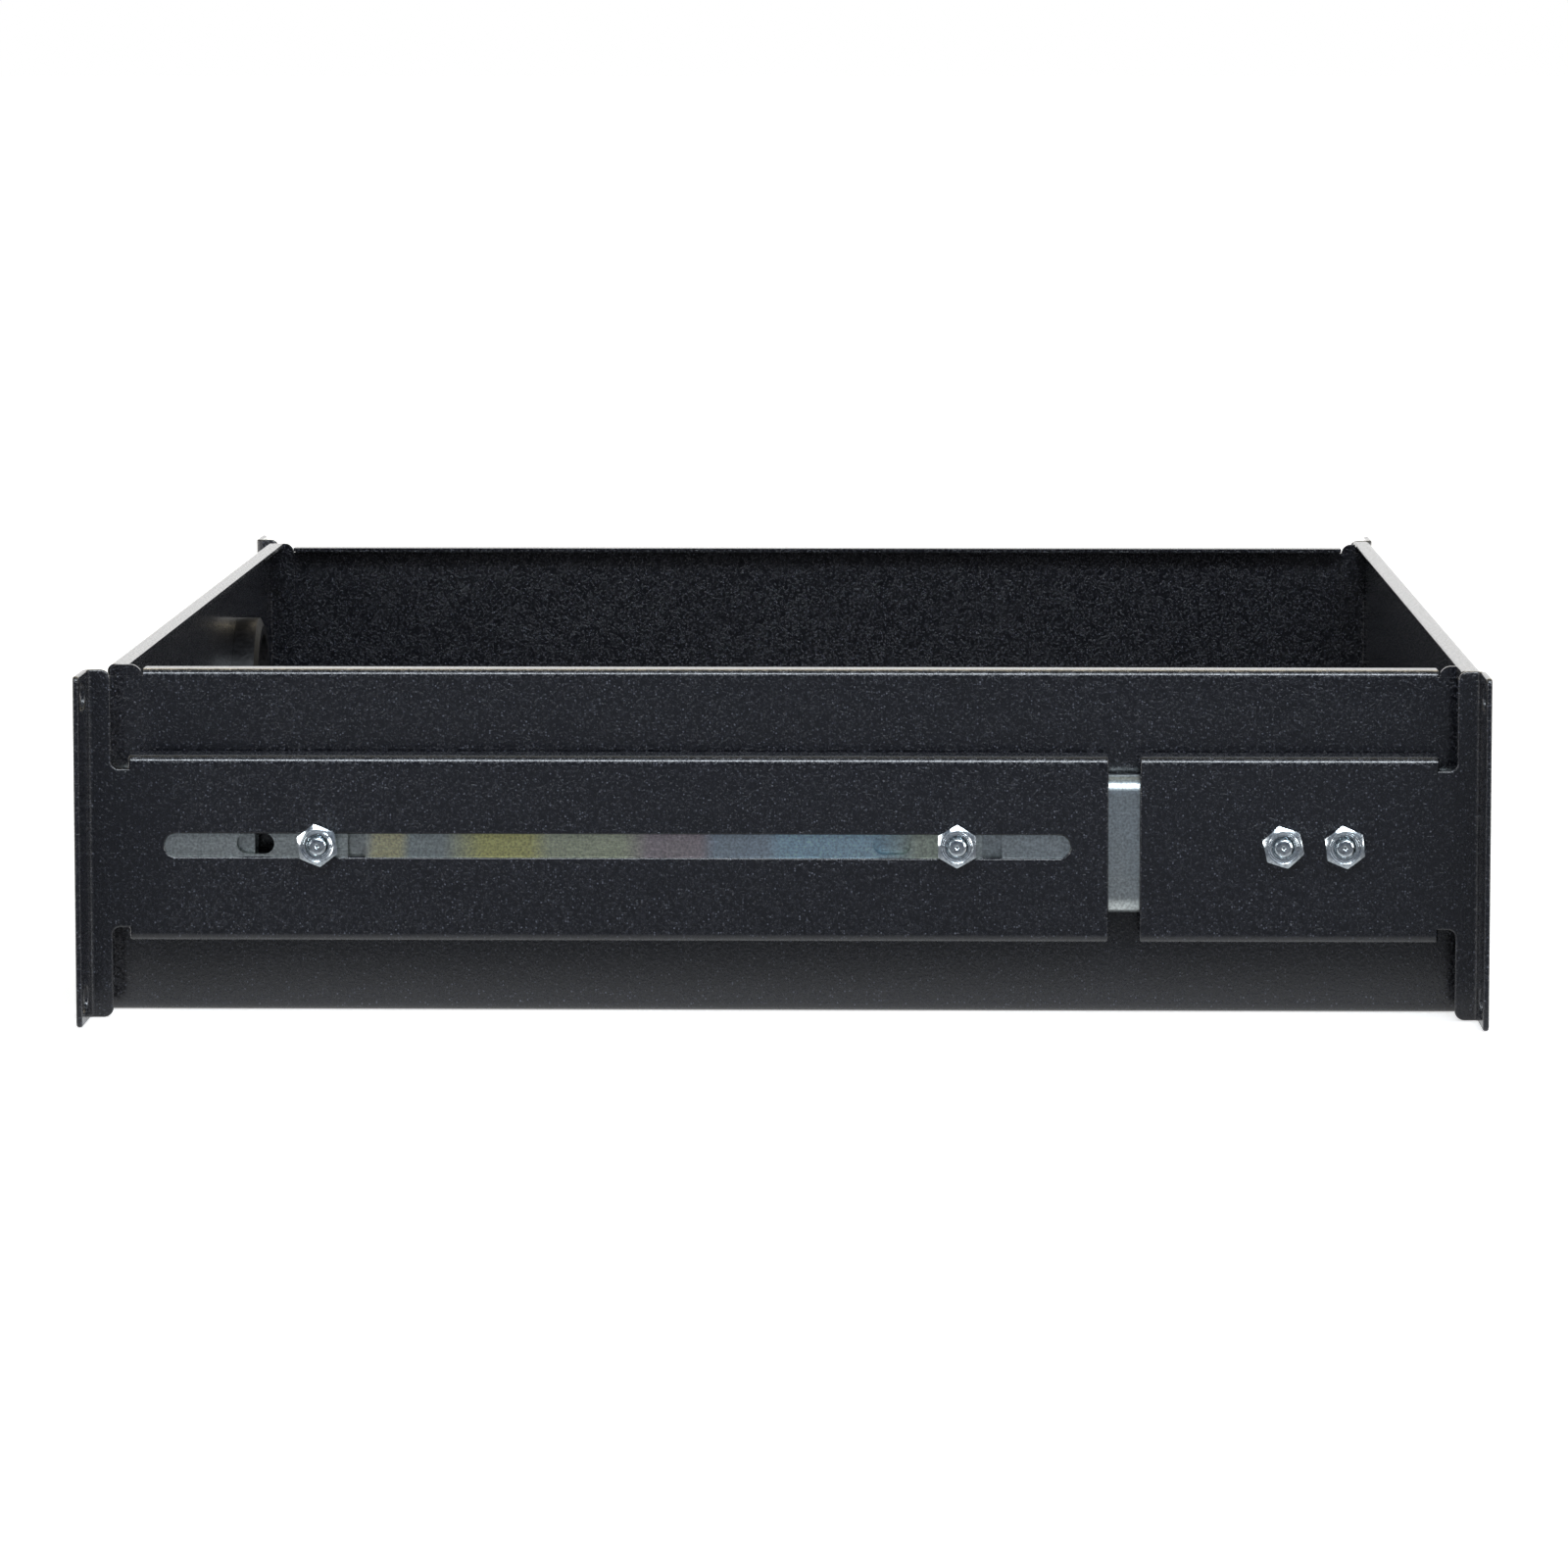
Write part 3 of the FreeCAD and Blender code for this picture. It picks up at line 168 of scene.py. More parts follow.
class RackDrawerStudio(bpy.types.PropertyGroup):
    """Camera and light of the studio."""
    lens: FloatProperty(
        name="Lens", description="Focal length of the camera",
        subtype="DISTANCE_CAMERA", min=1.0, default=155.79)
    camera_place: FloatVectorProperty(
        name="Camera place", description="Where the camera stands", subtype="TRANSLATION",
        unit="LENGTH", size=3, default=(0.0371, -1.9141, 0.2458))
    camera_pitch: FloatProperty(
        name="Camera pitch", description="How far the camera looks down",
        subtype="ANGLE", unit="ROTATION", default=math.radians(6.281))
    camera_yaw: FloatProperty(
        name="Camera yaw", description="How far the camera looks to the drawer's rear",
        subtype="ANGLE", unit="ROTATION", default=math.radians(1.244))
    camera_roll: FloatProperty(
        name="Camera roll", description="Tilt of the camera",
        subtype="ANGLE", unit="ROTATION", default=math.radians(-0.03))
    surround: FloatProperty(
        name="Surround", description="Strength of the even light from all round",
        min=0.0, default=0.34)
    room: FloatVectorProperty(
        name="Room", description="Dim room behind the camera, as the metal reflects it",
        subtype="COLOR", size=3, min=0.0, max=1.0, default=(0.09, 0.10, 0.13))
    key_power: FloatProperty(
        name="Key power", description="Power of the soft light over the camera's right",
        subtype="POWER", min=0.0, default=38.0)
    back_power: FloatProperty(
        name="Back power", description="Power of the warm light over the far side",
        subtype="POWER", min=0.0, default=14.0)
    side_power: FloatProperty(
        name="Side power", description="Power of the upright light at each side of the camera",
        subtype="POWER", min=0.0, default=9.0)


# ---- node helpers --------------------------------------------------------------------------------------

def add_node(tree, kind, **settings):
    node = tree.nodes.new(kind)
    for name, value in settings.items():
        setattr(node, name, value)
    return node


def socket(group, way, kind, name, default=None):
    made = group.interface.new_socket(name, in_out=way, socket_type=kind)
    if default is not None:
        made.default_value = default
    return made


def new_material(name):
    material = bpy.data.materials.new(name)
    material.use_nodes = True
    tree = material.node_tree
    return material, tree, tree.nodes["Principled BSDF"]


def use_group(tree, group, **values):
    node = add_node(tree, "ShaderNodeGroup", node_tree=group)
    for name, value in values.items():
        node.inputs[name.replace("_", " ")].default_value = value
    return node


def opaque(colour):
    return (*colour, 1.0)


def remap(tree, value, low, high, new_low=0.0, new_high=1.0, kind="LINEAR"):
    """Value moved from one range to another and held inside it."""
    node = add_node(tree, "ShaderNodeMapRange", interpolation_type=kind)
    for name, number in (("From Min", low), ("From Max", high), ("To Min", new_low), ("To Max", new_high)):
        node.inputs[name].default_value = number
    tree.links.new(value, node.inputs["Value"])
    return node.outputs["Result"]


def combine(tree, operation, first, second):
    """Two numbers put together; either may be an output or a plain number."""
    node = add_node(tree, "ShaderNodeMath", operation=operation)
    for entry, given in zip(node.inputs, (first, second)):
        if isinstance(given, (int, float)):
            entry.default_value = given
        else:
            tree.links.new(given, entry)
    return node.outputs["Value"]


def blend_colours(tree, factor, first, second, blend_type="MIX"):
    node = add_node(tree, "ShaderNodeMix", data_type="RGBA", blend_type=blend_type)
    tree.links.new(factor, node.inputs["Factor"])
    for name, given in (("A", first), ("B", second)):
        if isinstance(given, tuple):
            node.inputs[name].default_value = given
        else:
            tree.links.new(given, node.inputs[name])
    return node.outputs["Result"]


def noise(tree, place, scale, detail, roughness=0.5):
    node = add_node(tree, "ShaderNodeTexNoise", noise_dimensions="3D")
    node.inputs["Detail"].default_value = detail
    node.inputs["Roughness"].default_value = roughness
    tree.links.new(place, node.inputs["Vector"])
    if isinstance(scale, (int, float)):
        node.inputs["Scale"].default_value = scale
    else:
        tree.links.new(scale, node.inputs["Scale"])
    return node.outputs["Fac"]


def bump(tree, shader, height, distance):
    relief = add_node(tree, "ShaderNodeBump")
    relief.inputs["Strength"].default_value = 1.0
    relief.inputs["Distance"].default_value = distance
    tree.links.new(height, relief.inputs["Height"])
    tree.links.new(relief.outputs["Normal"], shader.inputs["Normal"])


# ---- shared effects ------------------------------------------------------------------------------------

def grain_effect():
    """Pebbled grain of a powder coat, with a few lighter specks that are painted highlights standing in for
    glints off the grain: colour, roughness and relief.
    """
    group = bpy.data.node_groups.new("powder_grain", "ShaderNodeTree")
    socket(group, "INPUT", "NodeSocketFloat", "Grains per metre", 2000.0)
    socket(group, "INPUT", "NodeSocketColor", "Base")
    socket(group, "INPUT", "NodeSocketColor", "Speck")
    socket(group, "INPUT", "NodeSocketFloat", "Roughness", 0.4)
    socket(group, "OUTPUT", "NodeSocketColor", "Colour")
    socket(group, "OUTPUT", "NodeSocketFloat", "Roughness")
    socket(group, "OUTPUT", "NodeSocketFloat", "Relief")
    links = group.links
    given = add_node(group, "NodeGroupInput")
    result = add_node(group, "NodeGroupOutput")
    place = add_node(group, "ShaderNodeTexCoord").outputs["Object"]
    pebbles = noise(group, place, given.outputs["Grains per metre"], 2.0, 0.6)

    # Painted highlight: a few Voronoi cells take the lighter speck colour, in place of glints off the grain.
    glint_cells = add_node(group, "ShaderNodeTexVoronoi", feature="F1")
    links.new(place, glint_cells.inputs["Vector"])
    links.new(given.outputs["Grains per metre"], glint_cells.inputs["Scale"])
    chosen = add_node(group, "ShaderNodeSeparateColor")
    links.new(glint_cells.outputs["Color"], chosen.inputs["Color"])
    some = remap(group, chosen.outputs["Red"], 0.78, 1.0)
    dot = remap(group, glint_cells.outputs["Distance"], 0.42, 0.18)
    glint_mask = combine(group, "MULTIPLY", some, dot)

    shade = remap(group, pebbles, 0.35, 0.65, 0.5, 1.5)
    toned = add_node(group, "ShaderNodeVectorMath", operation="SCALE")
    links.new(given.outputs["Base"], toned.inputs[0])
    links.new(shade, toned.inputs["Scale"])
    colour = blend_colours(group, glint_mask, toned.outputs["Vector"], given.outputs["Speck"])
    links.new(colour, result.inputs["Colour"])

    spread = remap(group, pebbles, 0.3, 0.7, -0.06, 0.10)
    links.new(combine(group, "ADD", given.outputs["Roughness"], spread), result.inputs["Roughness"])
    links.new(remap(group, pebbles, 0.46, 0.74), result.inputs["Relief"])
    return group


def bands_effect():
    """Thin-film colours of passivated zinc, which drift from straw to rose and blue along X."""
    group = bpy.data.node_groups.new("zinc_bands", "ShaderNodeTree")
    socket(group, "INPUT", "NodeSocketColor", "Base")
    socket(group, "INPUT", "NodeSocketFloat", "Strength", 1.0)
    socket(group, "OUTPUT", "NodeSocketColor", "Colour")
    links = group.links
    given = add_node(group, "NodeGroupInput")
    result = add_node(group, "NodeGroupOutput")
    place = add_node(group, "ShaderNodeTexCoord").outputs["Object"]
    parts = add_node(group, "ShaderNodeSeparateXYZ")
    links.new(place, parts.inputs["Vector"])
    wander = remap(group, noise(group, place, 14.0, 1.0), 0.3, 0.7, -0.002, 0.002)
    along = combine(group, "ADD", parts.outputs["X"], wander)
    ramp = add_node(group, "ShaderNodeValToRGB")
    links.new(remap(group, along, CAD_BOX[0][0], CAD_BOX[1][0]), ramp.inputs["Fac"])
    stops = ramp.color_ramp.elements
    stops[0].position, stops[0].color = 0.0, opaque(ZINC_ENDS[0])
    stops[1].position, stops[1].color = 1.0, opaque(ZINC_ENDS[1])
    for start, end, colour in ZINC_FILM:
        stops.new(start).color = opaque(colour)
        stops.new(end).color = opaque(colour)
    links.new(blend_colours(group, given.outputs["Strength"], given.outputs["Base"], ramp.outputs["Color"]),
              result.inputs["Colour"])
    return group


def rolled_effect():
    """Rolled and plated steel: faint streaks along X, cloudy tinted patches and a fine spangle."""
    group = bpy.data.node_groups.new("rolled_plate", "ShaderNodeTree")
    socket(group, "INPUT", "NodeSocketColor", "Base")
    socket(group, "INPUT", "NodeSocketColor", "Tint")
    socket(group, "INPUT", "NodeSocketFloat", "Roughness", 0.3)
    socket(group, "OUTPUT", "NodeSocketColor", "Colour")
    socket(group, "OUTPUT", "NodeSocketFloat", "Roughness")
    socket(group, "OUTPUT", "NodeSocketFloat", "Relief")
    links = group.links
    given = add_node(group, "NodeGroupInput")
    result = add_node(group, "NodeGroupOutput")
    place = add_node(group, "ShaderNodeTexCoord").outputs["Object"]
    stretch = add_node(group, "ShaderNodeMapping")
    stretch.inputs["Scale"].default_value = (12.0, 2600.0, 2600.0)
    links.new(place, stretch.inputs["Vector"])
    streaks = noise(group, stretch.outputs["Vector"], 1.0, 3.0)
    spangle = noise(group, place, 1600.0, 1.0)
    warm = remap(group, noise(group, place, 45.0, 2.0), 0.46, 0.76, 0.0, 0.25)
    colour = blend_colours(group, warm, given.outputs["Base"], given.outputs["Tint"])
    shade = remap(group, spangle, 0.3, 0.75, 0.72, 1.35)
    toned = add_node(group, "ShaderNodeVectorMath", operation="SCALE")
    links.new(colour, toned.inputs[0])
    links.new(shade, toned.inputs["Scale"])
    links.new(toned.outputs["Vector"], result.inputs["Colour"])
    spread = remap(group, streaks, 0.3, 0.7, -0.03, 0.04)
    links.new(combine(group, "ADD", given.outputs["Roughness"], spread), result.inputs["Roughness"])
    links.new(spangle, result.inputs["Relief"])
    return group


EFFECTS = {}


def effect(name):
    """A shared node group, built the first time that it is asked for."""
    if name not in EFFECTS:
        EFFECTS[name] = {"powder_grain": grain_effect, "rolled_plate": rolled_effect,
                         "zinc_bands": bands_effect}[name]()
    return EFFECTS[name]


# ---- materials -----------------------------------------------------------------------------------------

def grained_material(name, base, glint, grain, relief, roughness):
    material, tree, shader = new_material(name)
    grain_node = use_group(tree, effect("powder_grain"), Grains_per_metre=1.0 / grain,
                           Base=opaque(base), Speck=opaque(glint), Roughness=roughness)
    tree.links.new(grain_node.outputs["Colour"], shader.inputs["Base Color"])
    tree.links.new(grain_node.outputs["Roughness"], shader.inputs["Roughness"])
    bump(tree, shader, grain_node.outputs["Relief"], relief)
    return material


def plated_material(name, base, tint, roughness, relief, bands=0.0):
    material, tree, shader = new_material(name)
    plate = use_group(tree, effect("rolled_plate"), Base=opaque(base), Tint=opaque(tint), Roughness=roughness)
    if bands:
        film = use_group(tree, effect("zinc_bands"), Base=opaque(base), Strength=bands)
        tree.links.new(film.outputs["Colour"], plate.inputs["Base"])
    shader.inputs["Metallic"].default_value = 1.0
    tree.links.new(plate.outputs["Colour"], shader.inputs["Base Color"])
    tree.links.new(plate.outputs["Roughness"], shader.inputs["Roughness"])
    bump(tree, shader, plate.outputs["Relief"], relief)
    return material


def powder_coat(finish):
    material = grained_material("black powder coat", finish.coat_colour, finish.coat_glint_colour,
                                finish.coat_grain, finish.coat_relief, finish.coat_roughness)
    shader = material.node_tree.nodes["Principled BSDF"]
    shader.inputs["Specular IOR Level"].default_value = 0.58
    shader.inputs["Coat Weight"].default_value = 0.8
    shader.inputs["Coat Roughness"].default_value = 0.14
    shader.inputs["Coat IOR"].default_value = 1.5
    return material


def zinc_plate(finish):
    return plated_material("bright zinc plate", finish.zinc_colour, finish.zinc_tint, 0.29, 0.000012,
                           finish.zinc_bands)


def fixing_plate(finish):
    return plated_material("zinc fixings", finish.fixing_colour, finish.zinc_tint, 0.15, 0.000004)


def cage_strip(finish):
    return plated_material("cage strip", finish.strip_colour, finish.strip_colour, 0.34, 0.000008)


def ball_steel(finish):
    return plated_material("ball steel", finish.ball_colour, finish.ball_colour, 0.10, 0.0)


def moulded_rubber(finish):
    material = grained_material("moulded rubber", finish.rubber_colour, finish.rubber_colour,
                                0.0012, 0.00002, 0.34)
    material.node_tree.nodes["Principled BSDF"].inputs["Specular IOR Level"].default_value = 0.35
    return material


def moulded_plastic(finish):
    return grained_material("moulded plastic", finish.plastic_colour, finish.plastic_colour,
                            0.0009, 0.00003, 0.40)


# ---- pieces --------------------------------------------------------------------------------------------

def both_sides(*stems):
    return ["%s_%s" % (stem, side) for stem in stems for side in SIDES]


def smooth_by_angle(mesh, degrees):
    mesh.shade_smooth()
    mesh.set_sharp_from_angle(angle=math.radians(degrees))


def give_material(piece, material):
    piece.data.materials.clear()
    piece.data.materials.append(material)


def dress(nodes, material):
    """Give carried-over nodes their finish."""
    for name in nodes:
        give_material(NODES[name], material)


def ease_edges(name, width, material):
    """A copy of a folded sheet node whose sheared edges are rounded as its coat rounds them."""
    source = NODES[name].data
    shape = bmesh.new()
    shape.from_mesh(source)
    bmesh.ops.remove_doubles(shape, verts=shape.verts, dist=MERGE_DISTANCE)
    bmesh.ops.dissolve_limit(shape, angle_limit=math.radians(0.4), verts=shape.verts, edges=shape.edges,
                             use_dissolve_boundaries=False, delimit={"NORMAL"})
    mesh = bpy.data.meshes.new(name + "_eased")
    shape.to_mesh(mesh)
    shape.free()
    piece = bpy.data.objects.new(name + "_eased", mesh)
    bpy.context.scene.collection.objects.link(piece)
    give_material(piece, material)
    smooth_by_angle(mesh, 35)
    rounding = piece.modifiers.new("eased edges", "BEVEL")
    rounding.width = width
    rounding.segments = 3
    rounding.limit_method = "ANGLE"
    rounding.angle_limit = math.radians(40)
    rounding.harden_normals = True
    rounding.loop_slide = False
    rounding.use_clamp_overlap = name in RELIEVED
    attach(piece, BODY_OF[name])
    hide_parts(name)
    return piece


def separate_solids(name):
    """The separate solids of a node, each as a list of its corners, in order along X."""
    shape = bmesh.new()
    shape.from_mesh(NODES[name].data)
    bmesh.ops.remove_doubles(shape, verts=shape.verts, dist=MERGE_DISTANCE)
    found = set()
    solids = []
    for first in shape.verts:
        if first in found:
            continue
        found.add(first)
        reached = [first]
        for corner in reached:
            for edge in corner.link_edges:
                other = edge.other_vert(corner)
                if other not in found:
                    found.add(other)
                    reached.append(other)
        solids.append([corner.co.copy() for corner in reached])
    shape.free()
    return sorted(solids, key=lambda corners: min(corner.x for corner in corners))


def middle_of(corners, axis):
    values = [corner[axis] for corner in corners]
    return (min(values) + max(values)) / 2


def new_piece(name, shape, material, degrees=30):
    """An object at the origin with the shape as its mesh."""
    bmesh.ops.recalc_face_normals(shape, faces=shape.faces)
    mesh = bpy.data.meshes.new(name)
    shape.to_mesh(mesh)
    shape.free()
    piece = bpy.data.objects.new(name, mesh)
    bpy.context.scene.collection.objects.link(piece)
    give_material(piece, material)
    smooth_by_angle(mesh, degrees)
    return piece


def stand_for(piece, node):
    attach(piece, BODY_OF[node])
    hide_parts(node)


def add_rings(shape, rings, place, outward, closed=False):
    """Skin rings of (radius, angle, height) round an axis along Y that leaves the place outward."""
    made = []
    for ring in rings:
        made.append([shape.verts.new((place[0] + radius * math.cos(angle), place[1] + outward * height,
                                      place[2] + radius * math.sin(angle)))
                     for radius, angle, height in ring])
    pairs = list(zip(made, made[1:]))
    if closed:
        pairs.append((made[-1], made[0]))
    count = len(made[0])
    for lower, upper in pairs:
        for i in range(count):
            following = (i + 1) % count
            shape.faces.new((lower[i], lower[following], upper[following], upper[i]))
    return made


def add_nut(shape, corners, outward, bore):
    """Hexagon nut with a turned face, chamfered corners and a countersunk thread."""
    place = (middle_of(corners, 0), 0.0, middle_of(corners, 2))
    seat = min(outward * corner.y for corner in corners) + SLIDING_GAP
    height = max(outward * corner.y for corner in corners) - seat
    spans = [(math.hypot(corner.x - place[0], corner.z - place[2]),
              math.atan2(corner.z - place[2], corner.x - place[0])) for corner in corners]
    reach, turn = max(spans)
    flat = reach * math.cos(math.pi / 6)
    face = NUT_FACE * flat
    slope = math.tan(NUT_CHAMFER)
    angles = [2 * math.pi * i / 96 for i in range(96)]

    def side(angle):
        return flat / math.cos((angle - turn) % (math.pi / 3) - math.pi / 6)

    def ring(radius, level):
        return [(radius, angle, seat + level) for angle in angles]

    rings = [
        [(side(angle), angle, seat) for angle in angles],
        [(side(angle), angle, seat + height - (side(angle) - face) * slope) for angle in angles],
    ]
    rings += [ring(share * flat, height + level) for share, level in NUT_RINGS]
    rings += [ring(bore + wider, height + level) for wider, level in NUT_COUNTERSINK]
    rings.append(ring(bore, 0.0))
    add_rings(shape, rings, place, outward, closed=True)


def add_stud(shape, corners, outward, pitch):
    """Threaded stud with a chamfered and centre-drilled end."""
    place = (middle_of(corners, 0), 0.0, middle_of(corners, 2))
    root = min(outward * corner.y for corner in corners)
    length = max(outward * corner.y for corner in corners) - root
    radius = (max(corner.x for corner in corners) - min(corner.x for corner in corners)) / 2 - 0.00002
    angles = [2 * math.pi * i / 48 for i in range(48)]
    steps = round(length / pitch * STEPS_PER_PITCH)
    depth = THREAD_DEPTH * pitch
    thread = []
    for step in range(steps + 1):
        level = length * step / steps
        shrink = max(0.0, level - (length - STUD_CHAMFER[0])) * STUD_CHAMFER[1]
        ring = []
        for angle in angles:
            phase = (level / pitch - angle / (2 * math.pi)) % 1.0
            ring.append((radius - shrink - depth * abs(phase * 2 - 1), angle, root + level))
        thread.append(ring)
    crown = [[(share * radius, angle, root + length + lift) for angle in angles]
             for share, lift in STUD_CROWN]
    made = add_rings(shape, thread + crown, place, outward)
    shape.faces.new(made[0])
    shape.faces.new(made[-1])


def settle_faces(shape):
    """Order the faces by their corners, since those of a new sphere come in another order each run."""
    shape.verts.index_update()
    count = len(shape.verts)

    def rank(face):
        first, second, third = sorted(corner.index for corner in face.verts)[:3]
        return (first * count + second) * count + third

    shape.faces.sort(key=rank)


def add_ball(shape, corners):
    centre = Vector([middle_of(corners, axis) for axis in range(3)])
    radius = max((corner - centre).length for corner in corners)
    bmesh.ops.create_uvsphere(shape, u_segments=32, v_segments=16, radius=radius,
                              matrix=Matrix.Translation(centre))
    settle_faces(shape)


def rebuild(node, material, add_one, *sizes):
    """Replace every solid of a node by a finer one in the same place."""
    shape = bmesh.new()
    for corners in separate_solids(node):
        add_one(shape, corners, *sizes)
    stand_for(new_piece(node + "_turned", shape, material), node)


class RACKDRAWER_OT_folded_sheet(bpy.types.Operator):
    """Coat the brackets and the drawer box in black powder and ease their edges"""
    bl_idname = "rackdrawer.folded_sheet"
    bl_label = "Folded Sheet"

    def execute(self, context):
        finish = context.scene.rack_drawer_finish
        coat = powder_coat(finish)
        names = both_sides("front_bracket", "rear_bracket")
        names += ["drawer_tray", "rear_wall", "front_wall", "front_panel"]
        for name in names:
            ease_edges(name, finish.edge_ease, coat)
        dress(names, coat)
        return {"FINISHED"}


class RACKDRAWER_OT_slide_members(bpy.types.Operator):
    """Plate the three members of each slide"""
    bl_idname = "rackdrawer.slide_members"
    bl_label = "Slide Members"

    def execute(self, context):
        plate = zinc_plate(context.scene.rack_drawer_finish)
        dress(both_sides("slide_outer", "slide_middle", "slide_inner"), plate)
        return {"FINISHED"}


class RACKDRAWER_OT_ball_cages(bpy.types.Operator):
    """Finish the ball cages and their balls"""
    bl_idname = "rackdrawer.ball_cages"
    bl_label = "Ball Cages"

    def execute(self, context):
        finish = context.scene.rack_drawer_finish
        dress(both_sides("outer_cage", "inner_cage"), cage_strip(finish))
        steel = ball_steel(finish)
        for name in both_sides("outer_balls", "inner_balls"):
            rebuild(name, steel, add_ball)
            dress([name], steel)
        return {"FINISHED"}


class RACKDRAWER_OT_fixings(bpy.types.Operator):
    """Turn and plate the studs and nuts"""
    bl_idname = "rackdrawer.fixings"
    bl_label = "Fixings"

    def execute(self, context):
        plate = fixing_plate(context.scene.rack_drawer_finish)
        for side, outward in zip(SIDES, (-1, 1)):
            rebuild("bracket_nuts_" + side, plate, add_nut, outward, BRACKET_BORE)
            rebuild("bracket_studs_" + side, plate, add_stud, outward, BRACKET_PITCH)
            rebuild("drawer_nuts_" + side, plate, add_nut, outward, DRAWER_BORE)
            rebuild("drawer_studs_" + side, plate, add_stud, outward, DRAWER_PITCH)
        dress(both_sides("bracket_studs", "bracket_nuts", "drawer_studs", "drawer_nuts"), plate)
        return {"FINISHED"}


class RACKDRAWER_OT_mouldings(bpy.types.Operator):
    """Finish the rubber grommet and bumpers and the plastic pull"""
    bl_idname = "rackdrawer.mouldings"
    bl_label = "Mouldings"

    def execute(self, context):
        finish = context.scene.rack_drawer_finish
        dress(["cable_grommet"] + both_sides("rear_bumper"), moulded_rubber(finish))
        dress(["recessed_pull"], moulded_plastic(finish))
        return {"FINISHED"}


# ---- studio --------------------------------------------------------------------------------------------

def soft_light(name, place, size, power, colour=(1.0, 1.0, 1.0)):
    lamp = bpy.data.lights.new(name, "AREA")
    lamp.color = colour
    lamp.shape = "RECTANGLE"
    lamp.size, lamp.size_y = size
    lamp.energy = power
    holder = bpy.data.objects.new(name, lamp)
    holder.location = place
    holder.rotation_euler = (-Vector(place)).to_track_quat("-Z", "Y").to_euler()
    bpy.context.scene.collection.objects.link(holder)
    return holder


def seen_directly(tree):
    """1 for camera, glossy and transmission rays, 0 for the rays that light the object."""
    path = add_node(tree, "ShaderNodeLightPath")
    either = combine(tree, "MAXIMUM", path.outputs["Is Camera Ray"], path.outputs["Is Glossy Ray"])
    return combine(tree, "MAXIMUM", either, path.outputs["Is Transmission Ray"])


def studio_world(strength, room):
    """White to look at; the metal reflects a dim room that is white only behind the drawer."""
    world = bpy.data.worlds.new("studio")
    bpy.context.scene.world = world
    world.use_nodes = True
    tree = world.node_tree
    way = add_node(tree, "ShaderNodeSeparateXYZ")
    tree.links.new(add_node(tree, "ShaderNodeTexCoord").outputs["Generated"], way.inputs["Vector"])
    ramp = add_node(tree, "ShaderNodeValToRGB")
    tree.links.new(remap(tree, way.outputs["Y"], -1.0, 1.0), ramp.inputs["Fac"])
    stops = ramp.color_ramp.elements
    stops[0].position, stops[0].color = 0.0, opaque(room)
    stops[1].position, stops[1].color = BRIGHT_FROM, WHITE
    for position, colour in ROOM_TONES:
        stops.new(position).color = opaque(colour)
    path = add_node(tree, "ShaderNodeLightPath")
    shown = blend_colours(tree, path.outputs["Is Camera Ray"], ramp.outputs["Color"], WHITE)
    even = opaque((strength, strength, strength))
    background = tree.nodes["Background"]
    tree.links.new(blend_colours(tree, seen_directly(tree), even, shown), background.inputs["Color"])


def studio_floor():
    """Pale floor that takes the shadow; the metal reflects it darker in front of the drawer."""
    shape = bmesh.new()
    bmesh.ops.create_grid(shape, x_segments=1, y_segments=1, size=FLOOR_HALF_SIZE)
    bmesh.ops.translate(shape, verts=shape.verts, vec=(0.0, 0.0, CAD_BOX[0][2] - FLOOR_DROP))
    mesh = bpy.data.meshes.new("floor")
    shape.to_mesh(mesh)
    shape.free()
    floor = bpy.data.objects.new("floor", mesh)
    bpy.context.scene.collection.objects.link(floor)
    material, tree, shader = new_material("pale floor")
    shader.inputs["Roughness"].default_value = 0.9
    shader.inputs["Specular IOR Level"].default_value = 0.0
    shader.inputs["Emission Color"].default_value = WHITE
    place = add_node(tree, "ShaderNodeTexCoord").outputs["Object"]
    spot = add_node(tree, "ShaderNodeVectorMath", operation="LENGTH")
    tree.links.new(place, spot.inputs[0])
    level = remap(tree, spot.outputs["Value"], *SHADE_SPAN, SHADE_LEVEL, 1.0, "SMOOTHSTEP")
    way = add_node(tree, "ShaderNodeSeparateXYZ")
    tree.links.new(place, way.inputs["Vector"])
    beyond = remap(tree, way.outputs["Y"], *MIRROR_SPAN)
    path = add_node(tree, "ShaderNodeLightPath")
    mirrored = combine(tree, "MULTIPLY", path.outputs["Is Glossy Ray"], beyond)
    straight = combine(tree, "MAXIMUM", path.outputs["Is Camera Ray"], path.outputs["Is Transmission Ray"])
    near = combine(tree, "SUBTRACT", path.outputs["Is Glossy Ray"], mirrored)
    tree.links.new(blend_colours(tree, near, FLOOR_TONE, FRONT_FLOOR_TONE), shader.inputs["Base Color"])
    glow = combine(tree, "MULTIPLY", combine(tree, "MAXIMUM", straight, mirrored), level)
    tree.links.new(glow, shader.inputs["Emission Strength"])
    give_material(floor, material)


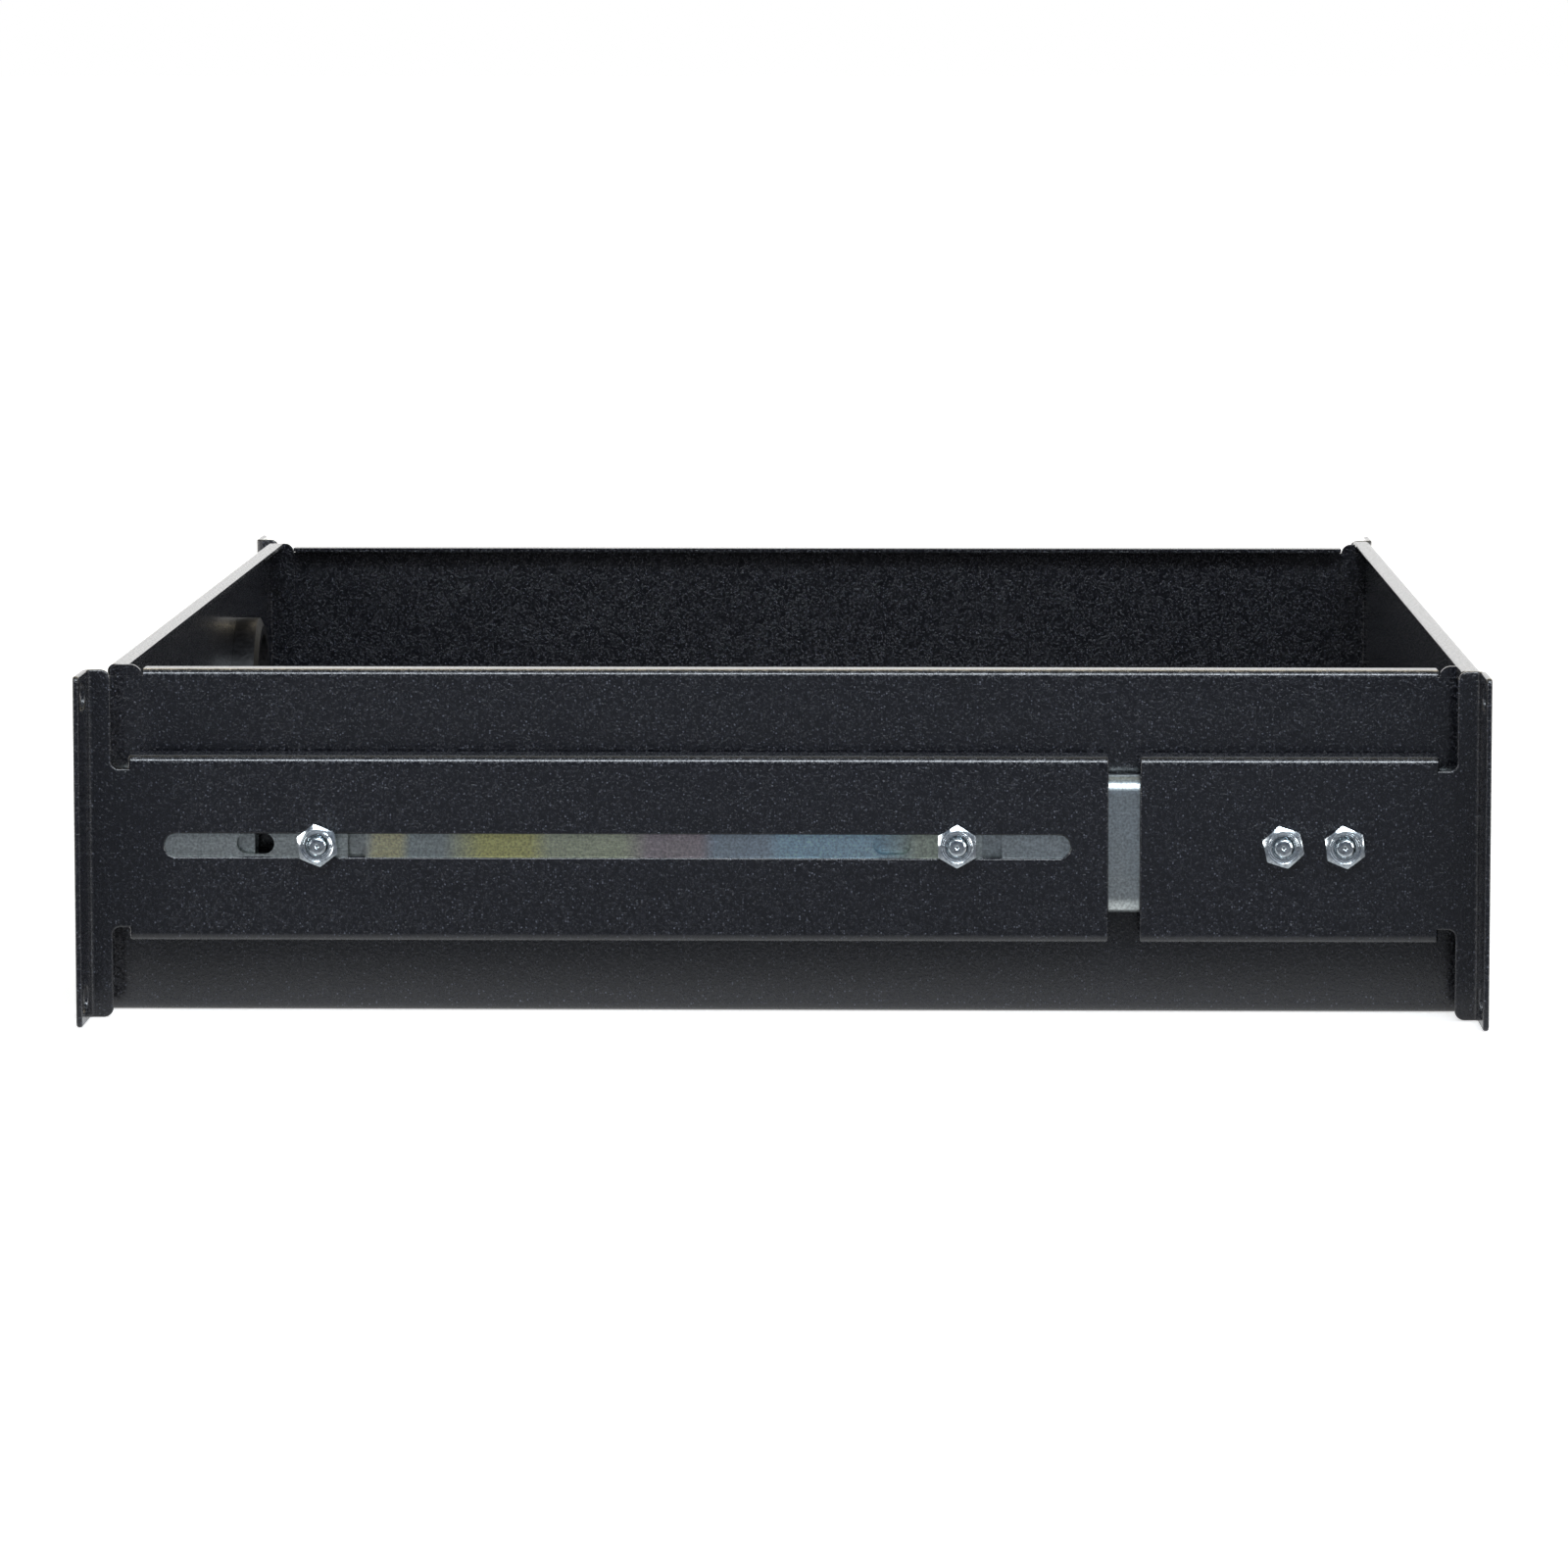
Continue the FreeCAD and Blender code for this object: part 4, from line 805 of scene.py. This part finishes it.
class RACKDRAWER_OT_studio(bpy.types.Operator):
    """Build the floor, the soft lights, the world and the camera"""
    bl_idname = "rackdrawer.studio"
    bl_label = "Studio"

    def execute(self, context):
        studio = context.scene.rack_drawer_studio
        scene = context.scene
        studio_world(studio.surround, studio.room)
        studio_floor()
        soft_light("key light", (0.4, -1.5, 1.5), (2.0, 0.45), studio.key_power, (0.86, 0.93, 1.0))
        soft_light("back light", (0.1, 1.4, 1.6), (2.4, 0.3), studio.back_power, (1.0, 0.88, 0.66))
        soft_light("left light", (-1.5, -1.3, 0.5), (0.45, 1.0), studio.side_power)
        soft_light("right light", (1.7, -1.0, 0.5), (0.45, 1.0), studio.side_power)
        camera = bpy.data.cameras.new("camera")
        camera.lens = studio.lens
        camera.sensor_width = 36.0
        camera.clip_start = 0.01
        holder = bpy.data.objects.new("camera", camera)
        aim = (Matrix.Rotation(studio.camera_yaw, 4, "Z")
               @ Matrix.Rotation(math.pi / 2 - studio.camera_pitch, 4, "X")
               @ Matrix.Rotation(studio.camera_roll, 4, "Z"))
        holder.matrix_world = Matrix.Translation(studio.camera_place) @ aim
        scene.collection.objects.link(holder)
        scene.camera = holder
        scene.view_settings.view_transform = "Standard"
        return {"FINISHED"}


# ---- add-on ----------------------------------------------------------------------------------------------

OPERATORS = (
    RACKDRAWER_OT_folded_sheet,
    RACKDRAWER_OT_slide_members,
    RACKDRAWER_OT_ball_cages,
    RACKDRAWER_OT_fixings,
    RACKDRAWER_OT_mouldings,
    RACKDRAWER_OT_studio,
)


class RACKDRAWER_PT_pieces(bpy.types.Panel):
    """Lists what the drawer is dressed with"""
    bl_idname = "RACKDRAWER_PT_pieces"
    bl_label = "Rack Drawer"
    bl_space_type = "VIEW_3D"
    bl_region_type = "UI"
    bl_category = "Rack Drawer"

    def draw(self, context):
        column = self.layout.column()
        for operator in OPERATORS:
            column.operator(operator.bl_idname)
        for settings in (context.scene.rack_drawer_finish, context.scene.rack_drawer_studio):
            for name in settings.__annotations__:
                column.prop(settings, name)


CLASSES = (RackDrawerFinish, RackDrawerStudio, *OPERATORS, RACKDRAWER_PT_pieces)


def register():
    for cls in CLASSES:
        bpy.utils.register_class(cls)
    bpy.types.Scene.rack_drawer_finish = PointerProperty(type=RackDrawerFinish)
    bpy.types.Scene.rack_drawer_studio = PointerProperty(type=RackDrawerStudio)


def unregister():
    del bpy.types.Scene.rack_drawer_studio
    del bpy.types.Scene.rack_drawer_finish
    for cls in reversed(CLASSES):
        bpy.utils.unregister_class(cls)


def main():
    register()
    bpy.ops.rackdrawer.folded_sheet()
    bpy.ops.rackdrawer.slide_members()
    bpy.ops.rackdrawer.ball_cages()
    bpy.ops.rackdrawer.fixings()
    bpy.ops.rackdrawer.mouldings()
    bpy.ops.rackdrawer.studio()
    bpy.context.view_layer.update()


if __name__ == "__main__":
    main()
